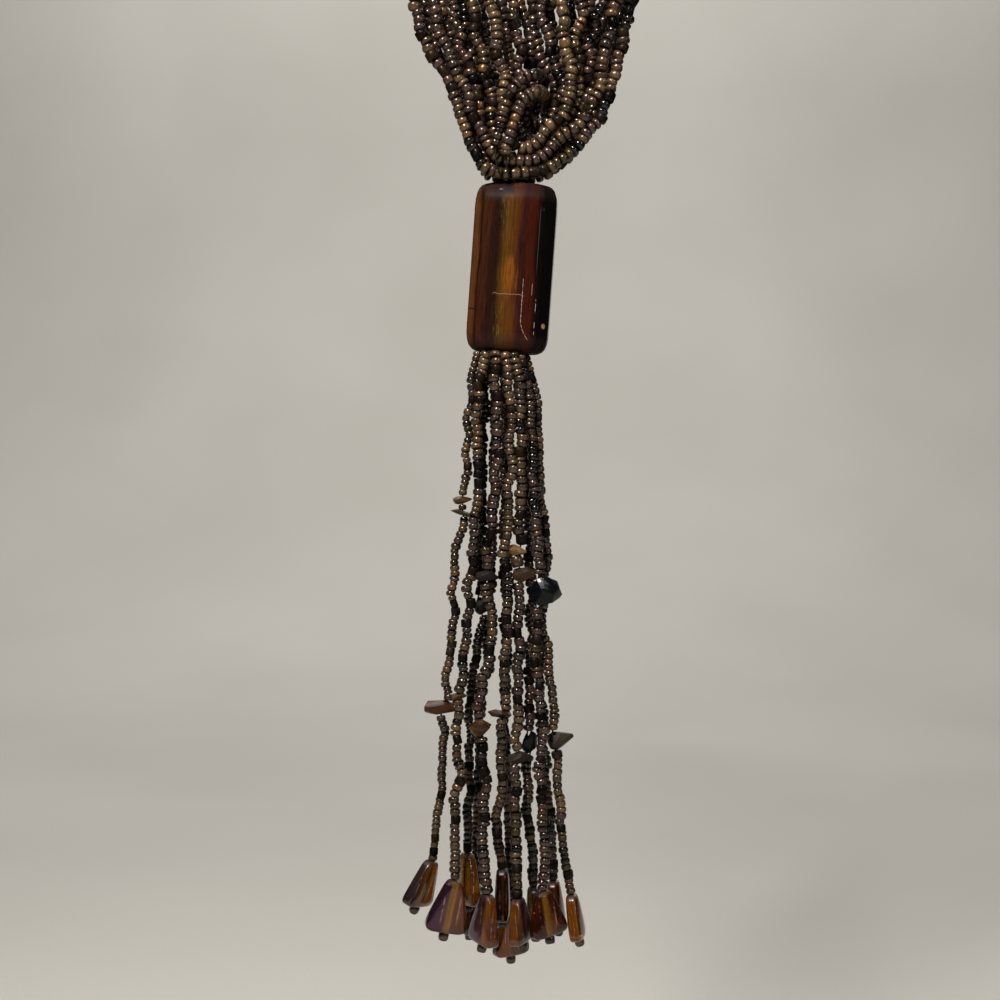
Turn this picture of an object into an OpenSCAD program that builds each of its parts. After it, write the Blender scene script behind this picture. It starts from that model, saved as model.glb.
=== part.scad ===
// Multi-strand seed bead necklace with a stone focal bead and a beaded tassel.
// Millimetres. The origin is the nape, where the necklace rests on its wearer.
// +Z is up, +X is the viewer's right and the front of the necklace faces -Y.
// The strings of seed beads are drawn as tubes; the looks add the beads.

/* [Worn form] */
// half the width of the ring of strands round the neck
neck_half = 66; // [55:1:80]
// how far the front hangs forward of the nape
chest = 137; // [110:1:160]
// how far the top of the focal bead hangs below the nape
drop = 310; // [260:5:360]

/* [Strands] */
// distance between the depth layers of the strands
layer_gap = 2.9; // [2.8:0.1:3.5]
// length of string that is beaded above the lowest point of each loop's side
foot = 4.5; // [4:0.1:6]
// number of flat sides of a tube that stands for a beaded string
sides = 8; // [6:1:8]
// radius of the beaded part of a tassel string
tassel_r = 1.1; // [0.9:0.05:1.2]
// radius of bare thread
thread_r = 0.2; // [0.15:0.05:0.3]
// radius of the turn bead below each glass drop
turn_r = 0.8; // [0.6:0.05:1]

/* [Focal bead] */
// width of the stone
focal_width = 20.5; // [18:0.5:22]
// length of the stone
focal_length = 42; // [38:0.5:44]
// thickness of the stone
focal_thick = 10.5; // [8:0.5:11]
// lean of the stone in the front view, top to the viewer's right
focal_lean = 4; // [0:0.5:8]
// turn of the stone about its length
focal_yaw = -6; // [-15:1:15]
// diameter of the hole along the stone
focal_bore = 3; // [2.6:0.1:3.4]

/* [Glass drops] */
// length of a drop
glass_length = 11.8; // [10:0.1:13]
// width of a drop at its top and at its foot
glass_top = 3.6; // [3:0.1:5]
glass_foot = 10.4; // [8:0.1:12]
// thickness of a drop
glass_thick = 4.2; // [4:0.1:6]
// diameter of the hole through a drop
glass_bore = 1; // [0.8:0.05:1.2]

/* [Chips] */
// diameter of the hole through a stone chip
chip_bore = 1; // [0.8:0.05:1.2]

/* [Hidden] */
khaki = [0.36, 0.33, 0.20];
plum = [0.24, 0.17, 0.18];
grey = [0.26, 0.25, 0.26];
tan = [0.55, 0.42, 0.24];
cord = [0.10, 0.09, 0.08];
stone = [0.42, 0.17, 0.08];
amber = [0.62, 0.36, 0.14, 0.8];
top_z = -drop;
front_y = -chest;

// Neck line as shares of the sizes above: x, y, z, lane pitch, then the way
// that the outer sheet of strands faces and how far the two sheets part.
NECK = [
    [0.000, 0.000, 0.000, 3.0, 0.00, 1.00, 0.25, 1.00],
    [0.470, 0.060, 0.010, 3.0, 0.30, 0.90, 0.35, 1.00],
    [0.820, 0.225, 0.042, 3.0, 0.55, 0.45, 0.75, 1.00],
    [0.970, 0.445, 0.107, 3.0, 0.40, -0.15, 0.90, 1.00],
    [1.000, 0.650, 0.207, 3.0, 0.15, -0.65, 0.75, 1.00],
    [0.925, 0.795, 0.333, 3.4, 0.05, -0.88, 0.45, 1.00],
    [0.760, 0.885, 0.468, 4.1, 0.00, -0.95, 0.30, 1.05],
    [0.560, 0.940, 0.603, 4.7, 0.00, -0.98, 0.20, 1.20],
    [0.370, 0.975, 0.735, 5.0, 0.00, -1.00, 0.10, 1.60],
];

// Heights above the focal bead at which the loops give their x below.
LEVELS = [46, 34, 24, 16];

// One row per loop: depth layer, lane, sheet, diameter, height of its lowest
// point, left x at the four levels and at its foot, left and right x of its
// lowest stretch, then right x at its foot and up the levels.
LOOPS = [
    [0, 2.5, 0, 2.5, 2.6, -24.6, -21.4, -15.4, -12.8, -9.2, -6.0, 8.0, 14.6, 21.8, 24.9, 27.1, 30.0],
    [0, 1.5, 0, 2.6, 5.4, -20.0, -17.0, -12.2, -9.8, -6.2, -3.0, 6.5, 11.5, 18.3, 21.6, 23.4, 26.6],
    [1, 0.5, 0, 2.4, 2.8, -15.4, -12.8, -9.0, -8.0, -7.8, -5.0, 7.2, 13.4, 17.0, 19.8, 19.4, 22.6],
    [1, -0.5, 0, 2.4, 5.6, -10.4, -8.4, -5.8, -5.0, -4.0, -2.0, 6.0, 10.4, 14.0, 17.0, 16.0, 17.6],
    [0, -1.5, 0, 2.5, 8.4, -5.4, -3.8, -2.0, -2.2, -1.2, 1.0, 5.2, 9.0, 12.2, 14.8, 13.0, 12.6],
    [1, -2.5, 0, 2.4, 11.2, -0.6, 1.4, 1.8, 1.4, 1.8, 3.2, 6.4, 8.4, 9.8, 12.6, 9.6, 7.6],
    [2, 2.5, 1, 2.5, 2.7, -22.2, -19.0, -14.0, -11.6, -8.2, -5.4, 7.4, 13.8, 20.2, 22.4, 25.0, 28.2],
    [3, 1.5, 1, 2.4, 3.2, -17.6, -14.8, -10.6, -9.0, -6.4, -4.0, 6.6, 12.6, 18.2, 20.0, 21.0, 24.2],
    [2, 0.5, 1, 2.4, 6.2, -12.8, -10.6, -7.4, -6.6, -4.6, -2.2, 6.0, 10.8, 15.6, 18.0, 17.6, 19.8],
    [3, -0.5, 1, 2.4, 6.0, -8.0, -6.2, -4.2, -4.4, -3.2, -1.0, 5.6, 10.2, 15.0, 16.6, 14.4, 15.0],
    [2, -1.5, 1, 2.4, 12.8, -3.0, -1.4, 0.2, 0.6, 1.2, 2.6, 6.6, 8.8, 10.8, 13.6, 11.2, 10.0],
    [3, -2.5, 1, 2.4, 14.2, 1.6, 4.0, 3.8, 3.0, 3.4, 4.4, 6.8, 8.8, 11.2, 12.4, 8.0, 5.0],
];

// Hangers: x, depth, height above the stone, radius. Each goes from the bore
// in front of the loops, over all of them and down behind them.
HANGER_1 = [
    [2.0, 0.2, -0.9, 0], [0.8, -2.6, 0.3, 0], [-0.6, -5.0, 0.25, 0], [-1.2, -6.8, 2.0, 0],
    [-1.5, -7.4, 5.0, 0], [-1.6, -7.5, 5.3, 1], [-1.4, -7.5, 8.0, 1], [-0.2, -7.5, 11.5, 1],
    [1.0, -7.5, 15.6, 1], [3.2, -7.5, 19.3, 1], [6.2, -6.0, 21.4, 1], [8.1, -2.4, 21.6, 1],
    [8.9, 1.8, 20.8, 1], [9.2, 5.8, 18.6, 1], [8.4, 7.5, 14.0, 1], [6.4, 7.5, 9.0, 1],
    [5.2, 7.5, 5.2, 1], [5.1, 7.4, 4.9, 0], [4.0, 6.6, 1.0, 0], [3.0, 3.2, 0.2, 0],
];
HANGER_2 = [
    [0.8, -0.1, -0.8, 0], [0.0, -1.6, 0.1, 0], [-1.2, -2.8, 0.4, 0], [-2.6, -5.0, 0.4, 0],
    [-3.6, -6.8, 2.0, 0], [-4.3, -7.4, 7.4, 0], [-4.3, -7.5, 7.7, 1], [-3.4, -7.5, 11.4, 1],
    [-2.2, -7.5, 16.2, 1], [-0.4, -7.5, 20.6, 1], [2.4, -7.5, 24.0, 1], [5.6, -6.4, 25.6, 1],
    [7.4, -2.6, 25.8, 1], [7.9, 1.8, 25.2, 1], [7.8, 5.6, 23.2, 1], [6.6, 7.6, 18.8, 1],
    [4.2, 7.6, 13.0, 1], [2.0, 7.6, 8.2, 1], [1.9, 7.5, 7.9, 0], [0.2, 6.8, 1.4, 0],
    [0.2, 3.2, 0.4, 0],
];

// Tassel strings: x, depth, distance below the top of the focal bead and
// 1 where beaded or 0 where bare thread runs, through a chip or a drop.
T01 = [
    [-3.0, -0.5, 43.0, 0], [-7.8, -1.0, 44.0, 0], [-8.4, -1.0, 44.3, 1], [-10.2, -1.0, 51.0, 1],
    [-11.0, -1.0, 64.3, 1], [-12.0, -1.0, 77.6, 1], [-12.1, -1.0, 77.8, 0], [-12.3, -1.2, 84.6, 0],
    [-12.3, -1.2, 84.8, 1], [-14.8, -1.4, 97.5, 1], [-14.3, -1.4, 106.0, 1], [-15.2, -1.2, 115.0, 1],
    [-16.8, -1.0, 128.3, 1], [-16.8, -1.0, 128.5, 0], [-16.8, -1.0, 132.8, 0], [-16.8, -1.0, 133.0, 1],
    [-17.5, -0.4, 142.0, 1], [-17.3, 0.4, 148.0, 1], [-19.0, 1.4, 160.0, 1], [-19.9, 2.0, 169.1, 1],
    [-20.0, 2.0, 169.4, 0],
];
T02 = [
    [-2.6, -1.3, 43.0, 0], [-5.6, -3.0, 44.0, 0], [-6.2, -3.2, 44.3, 1], [-8.2, -3.2, 52.0, 1],
    [-8.6, -3.2, 66.0, 1], [-8.3, -3.4, 78.0, 1], [-9.6, -4.6, 84.5, 1], [-9.4, -4.6, 91.0, 1],
    [-10.3, -3.8, 97.0, 1], [-10.8, -3.6, 106.0, 1], [-11.6, -3.4, 115.0, 1], [-13.0, -3.4, 126.2, 1],
    [-13.0, -3.4, 126.4, 0], [-13.2, -3.4, 128.8, 0], [-13.2, -3.4, 129.0, 1], [-13.9, -3.8, 137.0, 1],
    [-12.9, -4.4, 144.0, 1], [-14.0, -5.2, 154.0, 1], [-14.1, -5.8, 164.0, 1], [-14.0, -6.0, 171.7, 1],
    [-14.0, -6.0, 172.0, 0],
];
T03 = [
    [-2.9, 0.5, 43.0, 0], [-5.2, 0.6, 44.0, 0], [-5.8, 0.6, 44.3, 1], [-6.8, 0.8, 54.0, 1],
    [-7.4, 0.8, 66.0, 1], [-7.4, 1.0, 80.0, 1], [-7.9, 0.4, 94.0, 1], [-7.8, -0.6, 102.6, 1],
    [-7.8, -0.6, 102.8, 0], [-7.7, -0.6, 108.0, 0], [-7.7, -0.6, 108.2, 1], [-8.4, 0.8, 116.0, 1],
    [-9.8, 1.6, 122.0, 1], [-10.6, 1.8, 134.0, 1], [-10.6, 1.6, 144.0, 1], [-10.9, 2.2, 154.0, 1],
    [-11.2, 3.0, 167.3, 1], [-11.2, 3.0, 167.6, 0],
];
T04 = [
    [-2.1, -1.5, 43.0, 0], [-3.6, -3.4, 44.0, 0], [-3.9, -4.4, 44.3, 1], [-4.0, -4.8, 52.0, 1],
    [-3.6, -4.8, 62.0, 1], [-4.2, -4.8, 76.0, 1], [-5.4, -4.6, 87.0, 1], [-6.6, -4.4, 95.8, 1],
    [-6.6, -4.4, 96.0, 0], [-6.4, -4.4, 99.6, 0], [-6.4, -4.4, 99.8, 1], [-5.0, -4.0, 109.0, 1],
    [-5.4, -4.0, 117.0, 1], [-7.8, -4.4, 126.0, 1], [-8.0, -4.4, 132.2, 1], [-8.0, -4.4, 132.4, 0],
    [-8.0, -4.4, 138.0, 0], [-7.9, -4.4, 138.2, 1], [-6.7, -4.6, 149.0, 1], [-7.3, -5.4, 163.0, 1],
    [-6.1, -6.0, 175.3, 1], [-6.0, -6.0, 175.6, 0],
];
T05 = [
    [-1.3, -1.6, 43.0, 0], [-1.6, -3.6, 44.0, 0], [-1.8, -4.4, 44.3, 1], [-0.8, -5.2, 50.0, 1],
    [-0.3, -5.4, 60.0, 1], [-0.4, -5.4, 72.0, 1], [-1.0, -5.2, 83.0, 1], [-1.8, -5.4, 93.0, 1],
    [-1.0, -6.0, 103.0, 1], [-1.7, -5.6, 116.0, 1], [-2.1, -5.4, 130.2, 1], [-2.1, -5.4, 130.4, 0],
    [-2.1, -5.4, 132.8, 0], [-2.1, -5.4, 133.0, 1], [-3.0, -5.0, 143.0, 1], [-2.2, -4.0, 150.0, 1],
    [-4.0, -2.2, 158.0, 1], [-3.3, -0.4, 165.0, 1], [-2.4, 1.6, 170.8, 1], [-2.4, 1.6, 171.1, 0],
];
T06 = [
    [-2.2, 1.3, 43.0, 0], [-3.6, 2.6, 44.0, 0], [-4.2, 2.8, 44.3, 1], [-4.4, 3.2, 60.0, 1],
    [-4.6, 3.2, 80.0, 1], [-5.2, 3.0, 96.0, 1], [-5.6, 3.4, 110.0, 1], [-6.6, 4.2, 122.0, 1],
    [-8.2, 5.0, 130.0, 1], [-8.1, 6.2, 142.0, 1], [-8.8, 7.8, 156.0, 1], [-9.0, 9.3, 168.0, 1],
    [-9.0, 9.5, 177.1, 1], [-9.0, 9.5, 177.4, 0],
];
T07 = [
    [-1.5, 1.5, 43.0, 0], [-1.5, 2.6, 44.0, 0], [-1.4, 3.2, 44.3, 1], [-1.6, 3.2, 60.0, 1],
    [-1.8, 3.2, 80.0, 1], [-1.6, 3.0, 100.0, 1], [-1.4, 3.0, 118.0, 1], [-1.8, 4.2, 136.0, 1],
    [-1.2, 5.8, 150.0, 1], [-0.6, 7.6, 166.0, 1], [-0.2, 9.0, 183.1, 1], [-0.2, 9.0, 183.4, 0],
];
T08 = [
    [-0.7, -1.4, 43.0, 0], [0.8, -3.4, 44.0, 0], [1.3, -4.2, 44.3, 1], [1.9, -4.6, 50.0, 1],
    [2.1, -4.8, 62.0, 1], [2.1, -4.6, 76.0, 1], [1.7, -4.2, 89.6, 1], [1.7, -4.2, 89.8, 0],
    [1.6, -4.2, 93.2, 0], [1.6, -4.2, 93.4, 1], [1.7, -4.2, 95.0, 1], [1.7, -4.2, 95.2, 0],
    [1.7, -4.2, 99.6, 0], [1.7, -4.2, 99.8, 1], [1.6, -4.0, 112.0, 1], [1.5, -4.0, 128.0, 1],
    [1.1, -4.0, 140.6, 1], [1.1, -4.0, 140.8, 0], [1.0, -4.0, 144.4, 0], [1.0, -4.0, 144.6, 1],
    [0.8, -4.8, 160.0, 1], [1.2, -5.8, 170.0, 1], [1.3, -6.0, 176.2, 1], [1.3, -6.0, 176.5, 0],
];
T09 = [
    [-0.6, 1.2, 43.0, 0], [1.0, 2.2, 44.0, 0], [1.6, 2.4, 44.3, 1], [3.0, 2.4, 60.0, 1],
    [4.0, 2.2, 80.0, 1], [4.6, 2.0, 94.0, 1], [4.8, 1.4, 108.0, 1], [4.4, 0.2, 122.0, 1],
    [4.2, -1.0, 136.2, 1], [4.2, -1.0, 136.4, 0], [4.0, -1.0, 142.4, 0], [4.0, -1.0, 142.6, 1],
    [3.8, 1.0, 156.0, 1], [5.2, 3.8, 168.0, 1], [5.4, 5.4, 176.4, 1], [5.4, 5.4, 176.7, 0],
];
T10 = [
    [-0.3, -0.8, 43.0, 0], [2.4, -2.0, 44.0, 0], [3.0, -2.2, 44.3, 1], [4.0, -3.0, 53.0, 1],
    [5.0, -3.2, 66.0, 1], [5.3, -3.4, 78.0, 1], [6.4, -3.8, 88.0, 1], [6.6, -3.6, 97.2, 1],
    [6.6, -3.6, 97.4, 0], [6.3, -3.6, 105.8, 0], [6.3, -3.6, 106.0, 1], [5.9, -3.8, 114.0, 1],
    [6.3, -3.8, 124.0, 1], [7.6, -3.6, 134.0, 1], [6.9, -4.8, 148.0, 1], [7.8, -6.4, 162.0, 1],
    [8.0, -7.6, 168.0, 1], [7.4, -8.6, 173.7, 1], [7.4, -8.6, 174.0, 0],
];
T11 = [
    [-0.1, 0.6, 43.0, 0], [3.0, 1.6, 44.0, 0], [3.8, 1.8, 44.3, 1], [5.4, 3.2, 56.0, 1],
    [6.8, 3.8, 74.0, 1], [8.0, 3.8, 92.0, 1], [7.4, 3.2, 108.0, 1], [7.2, 2.6, 122.0, 1],
    [7.6, 2.4, 138.0, 1], [9.0, 3.4, 152.0, 1], [9.9, 4.8, 162.0, 1], [10.5, 6.0, 175.1, 1],
    [10.5, 6.0, 175.4, 0],
];
T12 = [
    [0.0, -0.1, 43.0, 0], [3.8, -0.4, 44.0, 0], [4.4, -0.4, 44.3, 1], [5.9, -0.4, 52.0, 1],
    [6.7, -0.4, 64.0, 1], [6.8, -0.4, 76.0, 1], [8.8, 0.6, 91.0, 1], [8.0, 1.2, 99.0, 1],
    [7.4, 0.6, 108.0, 1], [8.8, -0.8, 117.0, 1], [10.2, -0.8, 130.0, 1], [10.6, -0.8, 136.0, 1],
    [10.6, -0.8, 136.2, 0], [10.6, -0.8, 141.6, 0], [10.7, -0.8, 141.8, 1], [11.9, -0.6, 152.0, 1],
    [12.4, 0.0, 162.0, 1], [14.8, 1.0, 177.2, 1], [14.9, 1.0, 177.5, 0],
];

// Glass drops: x, depth and distance down of the top, lean in the front view
// (foot to the viewer's left is positive), share of the length and turn about it.
DROPS = [
    [-20.1, 2.0, 169.7, 20, 1.00, 55],
    [-14.0, -6.0, 172.4, 12, 1.10, 12],
    [-11.2, 3.0, 168.0, 0, 1.07, -60],
    [-9.0, 9.5, 177.8, 8, 1.03, 85],
    [-6.0, -6.0, 175.9, 6, 1.03, -56],
    [-2.4, 1.6, 171.5, 0, 1.08, 85],
    [-0.2, 9.0, 183.8, 0, 1.00, 35],
    [1.3, -6.0, 176.9, -6, 0.90, 66],
    [5.4, 5.4, 177.1, -3, 1.00, 85],
    [7.4, -8.6, 174.4, -9, 0.92, 35],
    [10.5, 6.0, 175.8, -6, 1.00, 80],
    [14.9, 1.0, 177.9, -9, 0.92, 80],
];

// Stone chips: centre x, depth and distance down, width, height, thickness,
// lean, turn, number of corners, then x and depth of the hole from the centre.
CHIPS = [
    [-12.4, -1.0, 79.0, 4.8, 2.0, 3.6, -6, 10, 6, 0.3, 0.0],
    [-11.0, -1.2, 82.7, 9.0, 1.3, 3.0, 19, 0, 5, -1.3, 0.0],
    [1.4, -4.3, 91.5, 4.4, 2.9, 3.6, 8, 20, 6, 0.3, 0.1],
    [-6.1, -4.4, 97.8, 6.0, 3.0, 3.6, 6, -15, 7, -0.4, 0.0],
    [2.8, -4.4, 97.4, 5.6, 3.8, 3.6, -12, 30, 5, -1.1, 0.2],
    [8.4, -4.0, 101.6, 8.2, 7.4, 5.0, 10, 20, 6, -1.9, 0.4],
    [-7.4, -0.7, 105.4, 3.8, 4.6, 3.2, 8, 40, 5, -0.3, 0.1],
    [-17.8, -1.0, 130.7, 8.0, 3.7, 4.4, 4, 10, 7, 1.0, 0.0],
    [-13.1, -3.4, 127.6, 3.8, 2.0, 3.4, -8, 0, 6, 0.0, 0.0],
    [-7.8, -4.4, 135.1, 5.6, 4.8, 3.0, -20, 15, 5, -0.2, 0.0],
    [-3.1, -5.5, 131.6, 6.0, 1.8, 4.0, 5, 25, 6, 1.0, 0.1],
    [2.0, -4.1, 142.6, 6.0, 3.2, 4.0, -4, 35, 7, -0.9, 0.1],
    [4.4, -1.0, 139.4, 3.8, 5.6, 2.6, 6, 0, 5, -0.3, 0.0],
    [12.6, -0.8, 138.7, 5.6, 4.6, 3.0, -15, 0, 5, -2.0, 0.0],
];

function unit(v) = v / norm(v);

// Point at share u between b and c of a smooth curve through a, b, c and d.
function smooth_point(a, b, c, d, u) =
    let (t1 = sqrt(norm(b - a)))
    let (t2 = t1 + sqrt(norm(c - b)))
    let (t3 = t2 + sqrt(norm(d - c)))
    let (t = t1 + u * (t2 - t1))
    let (a1 = (t1 - t) / t1 * a + t / t1 * b)
    let (a2 = (t2 - t) / (t2 - t1) * b + (t - t1) / (t2 - t1) * c)
    let (a3 = (t3 - t) / (t3 - t2) * c + (t - t2) / (t3 - t2) * d)
    let (b1 = (t2 - t) / t2 * a1 + t / t2 * a2)
    let (b2 = (t3 - t) / (t3 - t1) * a2 + (t - t1) / (t3 - t1) * a3)
    (t2 - t) / (t2 - t1) * b1 + (t - t1) / (t2 - t1) * b2;

function closed_curve(p, n) = [
    for (i = [0 : len(p) - 1])
        for (s = [0 : n - 1])
            smooth_point(
                p[(i + len(p) - 1) % len(p)],
                p[i],
                p[(i + 1) % len(p)],
                p[(i + 2) % len(p)],
                s / n
            )
];

// Neck line of one loop on one side, from the nape down to the chest.
function neck_base(side) = [
    for (r = NECK) [side * r[0] * neck_half, -r[1] * chest, -r[2] * drop]
];

function neck_tangent(base, side, k) =
    k == 0
        ? [side, 0, 0]
        : unit(base[min(k + 1, len(base) - 1)] - base[k - 1]);

function neck_point(base, side, lane, sheet, k) =
    let (r = NECK[k])
    let (o = unit([side * r[4], r[5], r[6]]))
    let (t = neck_tangent(base, side, k))
    let (w = unit(cross(o, t)) * side)
    let (m = unit(cross(t, w)) * side)
    let (n = m * o < 0 ? -m : m)
    base[k] + w * lane * r[3] + n * (0.5 - sheet) * layer_gap * r[7];

function neck_side(side, lane, sheet) =
    let (base = neck_base(side))
    [for (k = [0 : len(NECK) - 1]) neck_point(base, side, lane, sheet, k)];

function reversed(p) = [for (i = [len(p) - 1 : -1 : 0]) p[i]];

function tail(p) = [for (i = [0 : len(p) - 2]) p[i]];

// Whole route of one loop, from the nape down the right side and back up.
function loop_route(row) =
    let (y = front_y + (row[0] - 1.5) * layer_gap)
    let (low = row[4])
    let (rise = min(foot, 0.6 * (LEVELS[3] - low)))
    let (h = [LEVELS[0], LEVELS[1], LEVELS[2], LEVELS[3], low + rise])
    let (right = [for (k = [0 : 4]) [row[16 - k], y, top_z + h[k]]])
    let (base = [[row[11], y, top_z + low], [row[10], y, top_z + low]])
    let (left = [for (k = [4 : -1 : 0]) [row[5 + k], y, top_z + h[k]]])
    concat(
        neck_side(1, row[1], row[2]),
        right,
        base,
        left,
        tail(reversed(neck_side(-1, row[1], row[2])))
    );

// Ring of points round p, square to t and started from the direction u.
function ring(p, t, u, r) =
    let (v = cross(t, u))
    [for (k = [0 : sides - 1]) p + r * (cos(360 * k / sides) * u + sin(360 * k / sides) * v)];

function square_to(u, t) = unit(u - (u * t) * t);

function closed_tangent(p, i) =
    unit(p[(i + 1) % len(p)] - p[(i + len(p) - 1) % len(p)]);

// Closed tube of radii rs along p, its seam kept towards the directions refs.
module closed_tube(p, rs, refs) {
    n = len(p);
    points = [
        for (i = [0 : n - 1])
            let (t = closed_tangent(p, i))
            each ring(p[i], t, square_to(refs[i], t), rs[i])
    ];
    faces = [
        for (i = [0 : n - 1])
            for (k = [0 : sides - 1])
                let (j = (i + 1) % n)
                let (m = (k + 1) % sides)
                [i * sides + k, j * sides + k, j * sides + m, i * sides + m]
    ];
    polyhedron(points = points, faces = faces, convexity = 6);
}

function open_tangent(p, i) =
    unit(p[min(i + 1, len(p) - 1)] - p[max(i - 1, 0)]);

// Seam directions along an open tube, each turned as little as it can be.
function seams(p, i, u) =
    i >= len(p)
        ? []
        : let (w = square_to(u, open_tangent(p, i)))
          concat([w], seams(p, i + 1, w));

module open_tube(p, rs) {
    n = len(p);
    us = seams(p, 0, [0.3, 0.2, 1]);
    points = [
        for (i = [0 : n - 1])
            each ring(p[i], open_tangent(p, i), us[i], rs[i])
    ];
    around = [
        for (i = [0 : n - 2])
            for (k = [0 : sides - 1])
                let (m = (k + 1) % sides)
                [i * sides + k, (i + 1) * sides + k, (i + 1) * sides + m, i * sides + m]
    ];
    start = [for (k = [0 : sides - 1]) k];
    end = [for (k = [sides - 1 : -1 : 0]) (n - 1) * sides + k];
    polyhedron(points = points, faces = concat([start], around, [end]), convexity = 6);
}

module beaded_loop(i, tint) {
    row = LOOPS[i];
    path = closed_curve(loop_route(row), 2);
    rs = [for (p = path) row[3] / 2];
    color(tint) closed_tube(path, rs, [for (p = path) [0, -0.91, 0.41]]);
}

module loop_01() beaded_loop(0, khaki);
module loop_02() beaded_loop(1, khaki);
module loop_03() beaded_loop(2, plum);
module loop_04() beaded_loop(3, khaki);
module loop_05() beaded_loop(4, tan);
module loop_06() beaded_loop(5, plum);
module loop_07() beaded_loop(6, grey);
module loop_08() beaded_loop(7, khaki);
module loop_09() beaded_loop(8, plum);
module loop_10() beaded_loop(9, grey);
module loop_11() beaded_loop(10, khaki);
module loop_12() beaded_loop(11, plum);

// Hanger: a closed string, beaded where it shows, that carries the focal bead.
module hanger(rows, r, tint) {
    path = [for (s = rows) [s[0], front_y + s[1], top_z + s[2]]];
    rs = [for (s = rows) s[3] == 1 ? r : thread_r];
    middle = [3.5, front_y, top_z + 11];
    color(tint) closed_tube(path, rs, [for (p = path) p - middle]);
}

module hanger_1() hanger(HANGER_1, 1.15, khaki);
module hanger_2() hanger(HANGER_2, 1.05, plum);

// Put what is drawn about the stone's centre into its place.
module at_stone() {
    translate([0, front_y, top_z - focal_length / 2 - 0.3])
        rotate([0, focal_lean, 0])
            rotate([0, 0, focal_yaw])
                children();
}

module stone_section() {
    w = focal_width / 2;
    t = focal_thick / 2;
    polygon([
        [w, -0.30 * t], [w, 0.30 * t], [0.74 * w, 0.80 * t], [0.35 * w, t],
        [-0.35 * w, t], [-0.74 * w, 0.80 * t], [-w, 0.30 * t], [-w, -0.30 * t],
        [-0.74 * w, -0.80 * t], [-0.35 * w, -t], [0.35 * w, -t], [0.74 * w, -0.80 * t],
    ]);
}

module stone_outline() {
    w = focal_width / 2;
    h = focal_length / 2;
    polygon([
        [w, -h + 2.6], [w, h - 2.6], [w - 0.7, h - 0.9], [w - 2.4, h],
        [-w + 2.4, h], [-w + 0.7, h - 0.9], [-w, h - 2.6], [-w, -h + 2.6],
        [-w + 0.7, -h + 0.9], [-w + 2.4, -h], [w - 2.4, -h], [w - 0.7, -h + 0.9],
    ]);
}

module stone_profile() {
    t = focal_thick / 2;
    h = focal_length / 2;
    polygon([
        [t, -h + 2.4], [t, h - 2.4], [t - 1.8, h],
        [-t + 1.8, h], [-t, h - 2.4], [-t, -h + 2.4],
        [-t + 1.8, -h], [t - 1.8, -h],
    ]);
}

module focal_bead() {
    color(stone)
        at_stone()
            difference() {
                intersection() {
                    linear_extrude(height = focal_length + 2, center = true) stone_section();
                    rotate([90, 0, 0])
                        linear_extrude(height = focal_thick + 2, center = true) stone_outline();
                    rotate([90, 0, 90])
                        linear_extrude(height = focal_width + 2, center = true) stone_profile();
                }
                cylinder(h = focal_length + 4, d = focal_bore, center = true, $fn = 48);
                translate([0, 0, focal_length / 2 - 1.2])
                    cylinder(h = 2.4, d1 = focal_bore, d2 = focal_bore + 4.4, $fn = 48);
            }
}

// Bundle of thread in the stone's hole, with the knot that the tassel hangs from.
module thread_core() {
    h = focal_length / 2;
    color(cord)
        at_stone() {
            translate([0, 0, -h - 0.4]) cylinder(h = focal_length - 1.2, d = 2.2, $fn = 32);
            translate([0, 0, -h - 1.6]) cylinder(h = 1.3, d1 = 1.8, d2 = 2.6, $fn = 32);
        }
}

function drop_axis(d) =
    [-sin(d[3]), 0, -cos(d[3])];

function drop_length(d) = glass_length * d[4];

function drop_place(d, along) =
    [d[0], front_y + d[1], top_z - d[2]] + along * drop_axis(d);

// Tassel string: its own stations, then on through its drop to the turn bead.
module tassel(rows, d, tint) {
    own = [for (s = rows) [s[0], front_y + s[1], top_z - s[2]]];
    rs = [for (s = rows) s[3] == 1 ? tassel_r : thread_r];
    far = drop_length(d);
    end = [for (a = [far + 0.15, far + 0.3, far + 1.1, far + 1.6]) drop_place(d, a)];
    color(tint)
        open_tube(
            concat(own, [drop_place(d, 0.4)], end),
            concat(rs, [thread_r, thread_r, turn_r, turn_r, 0.4])
        );
}

module tassel_01() tassel(T01, DROPS[0], khaki);
module tassel_02() tassel(T02, DROPS[1], khaki);
module tassel_03() tassel(T03, DROPS[2], grey);
module tassel_04() tassel(T04, DROPS[4], plum);
module tassel_05() tassel(T05, DROPS[5], khaki);
module tassel_06() tassel(T06, DROPS[3], grey);
module tassel_07() tassel(T07, DROPS[6], grey);
module tassel_08() tassel(T08, DROPS[7], khaki);
module tassel_09() tassel(T09, DROPS[8], plum);
module tassel_10() tassel(T10, DROPS[9], plum);
module tassel_11() tassel(T11, DROPS[10], grey);
module tassel_12() tassel(T12, DROPS[11], khaki);

// Paddle of glass, wide at its foot, hung from the middle of its narrow top.
module paddle_front(l) {
    a = glass_top / 2;
    b = glass_foot / 2;
    polygon([
        [a - 0.6, 0], [a, -0.7], [b - 0.2, -l + 2.2], [b - 0.4, -l + 0.9], [b - 1.5, -l],
        [-b + 1.5, -l], [-b + 0.4, -l + 0.9], [-b + 0.2, -l + 2.2], [-a, -0.7], [-a + 0.6, 0],
    ]);
}

module paddle_side(l) {
    t = glass_thick / 2;
    polygon([
        [t - 1.1, 0], [t - 0.4, -1.2], [t, -3.6], [t, -l + 2], [t - 0.5, -l + 0.6], [t - 1.2, -l],
        [-t + 1.2, -l], [-t + 0.5, -l + 0.6], [-t, -l + 2], [-t, -3.6], [-t + 0.4, -1.2],
        [-t + 1.1, 0],
    ]);
}

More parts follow.
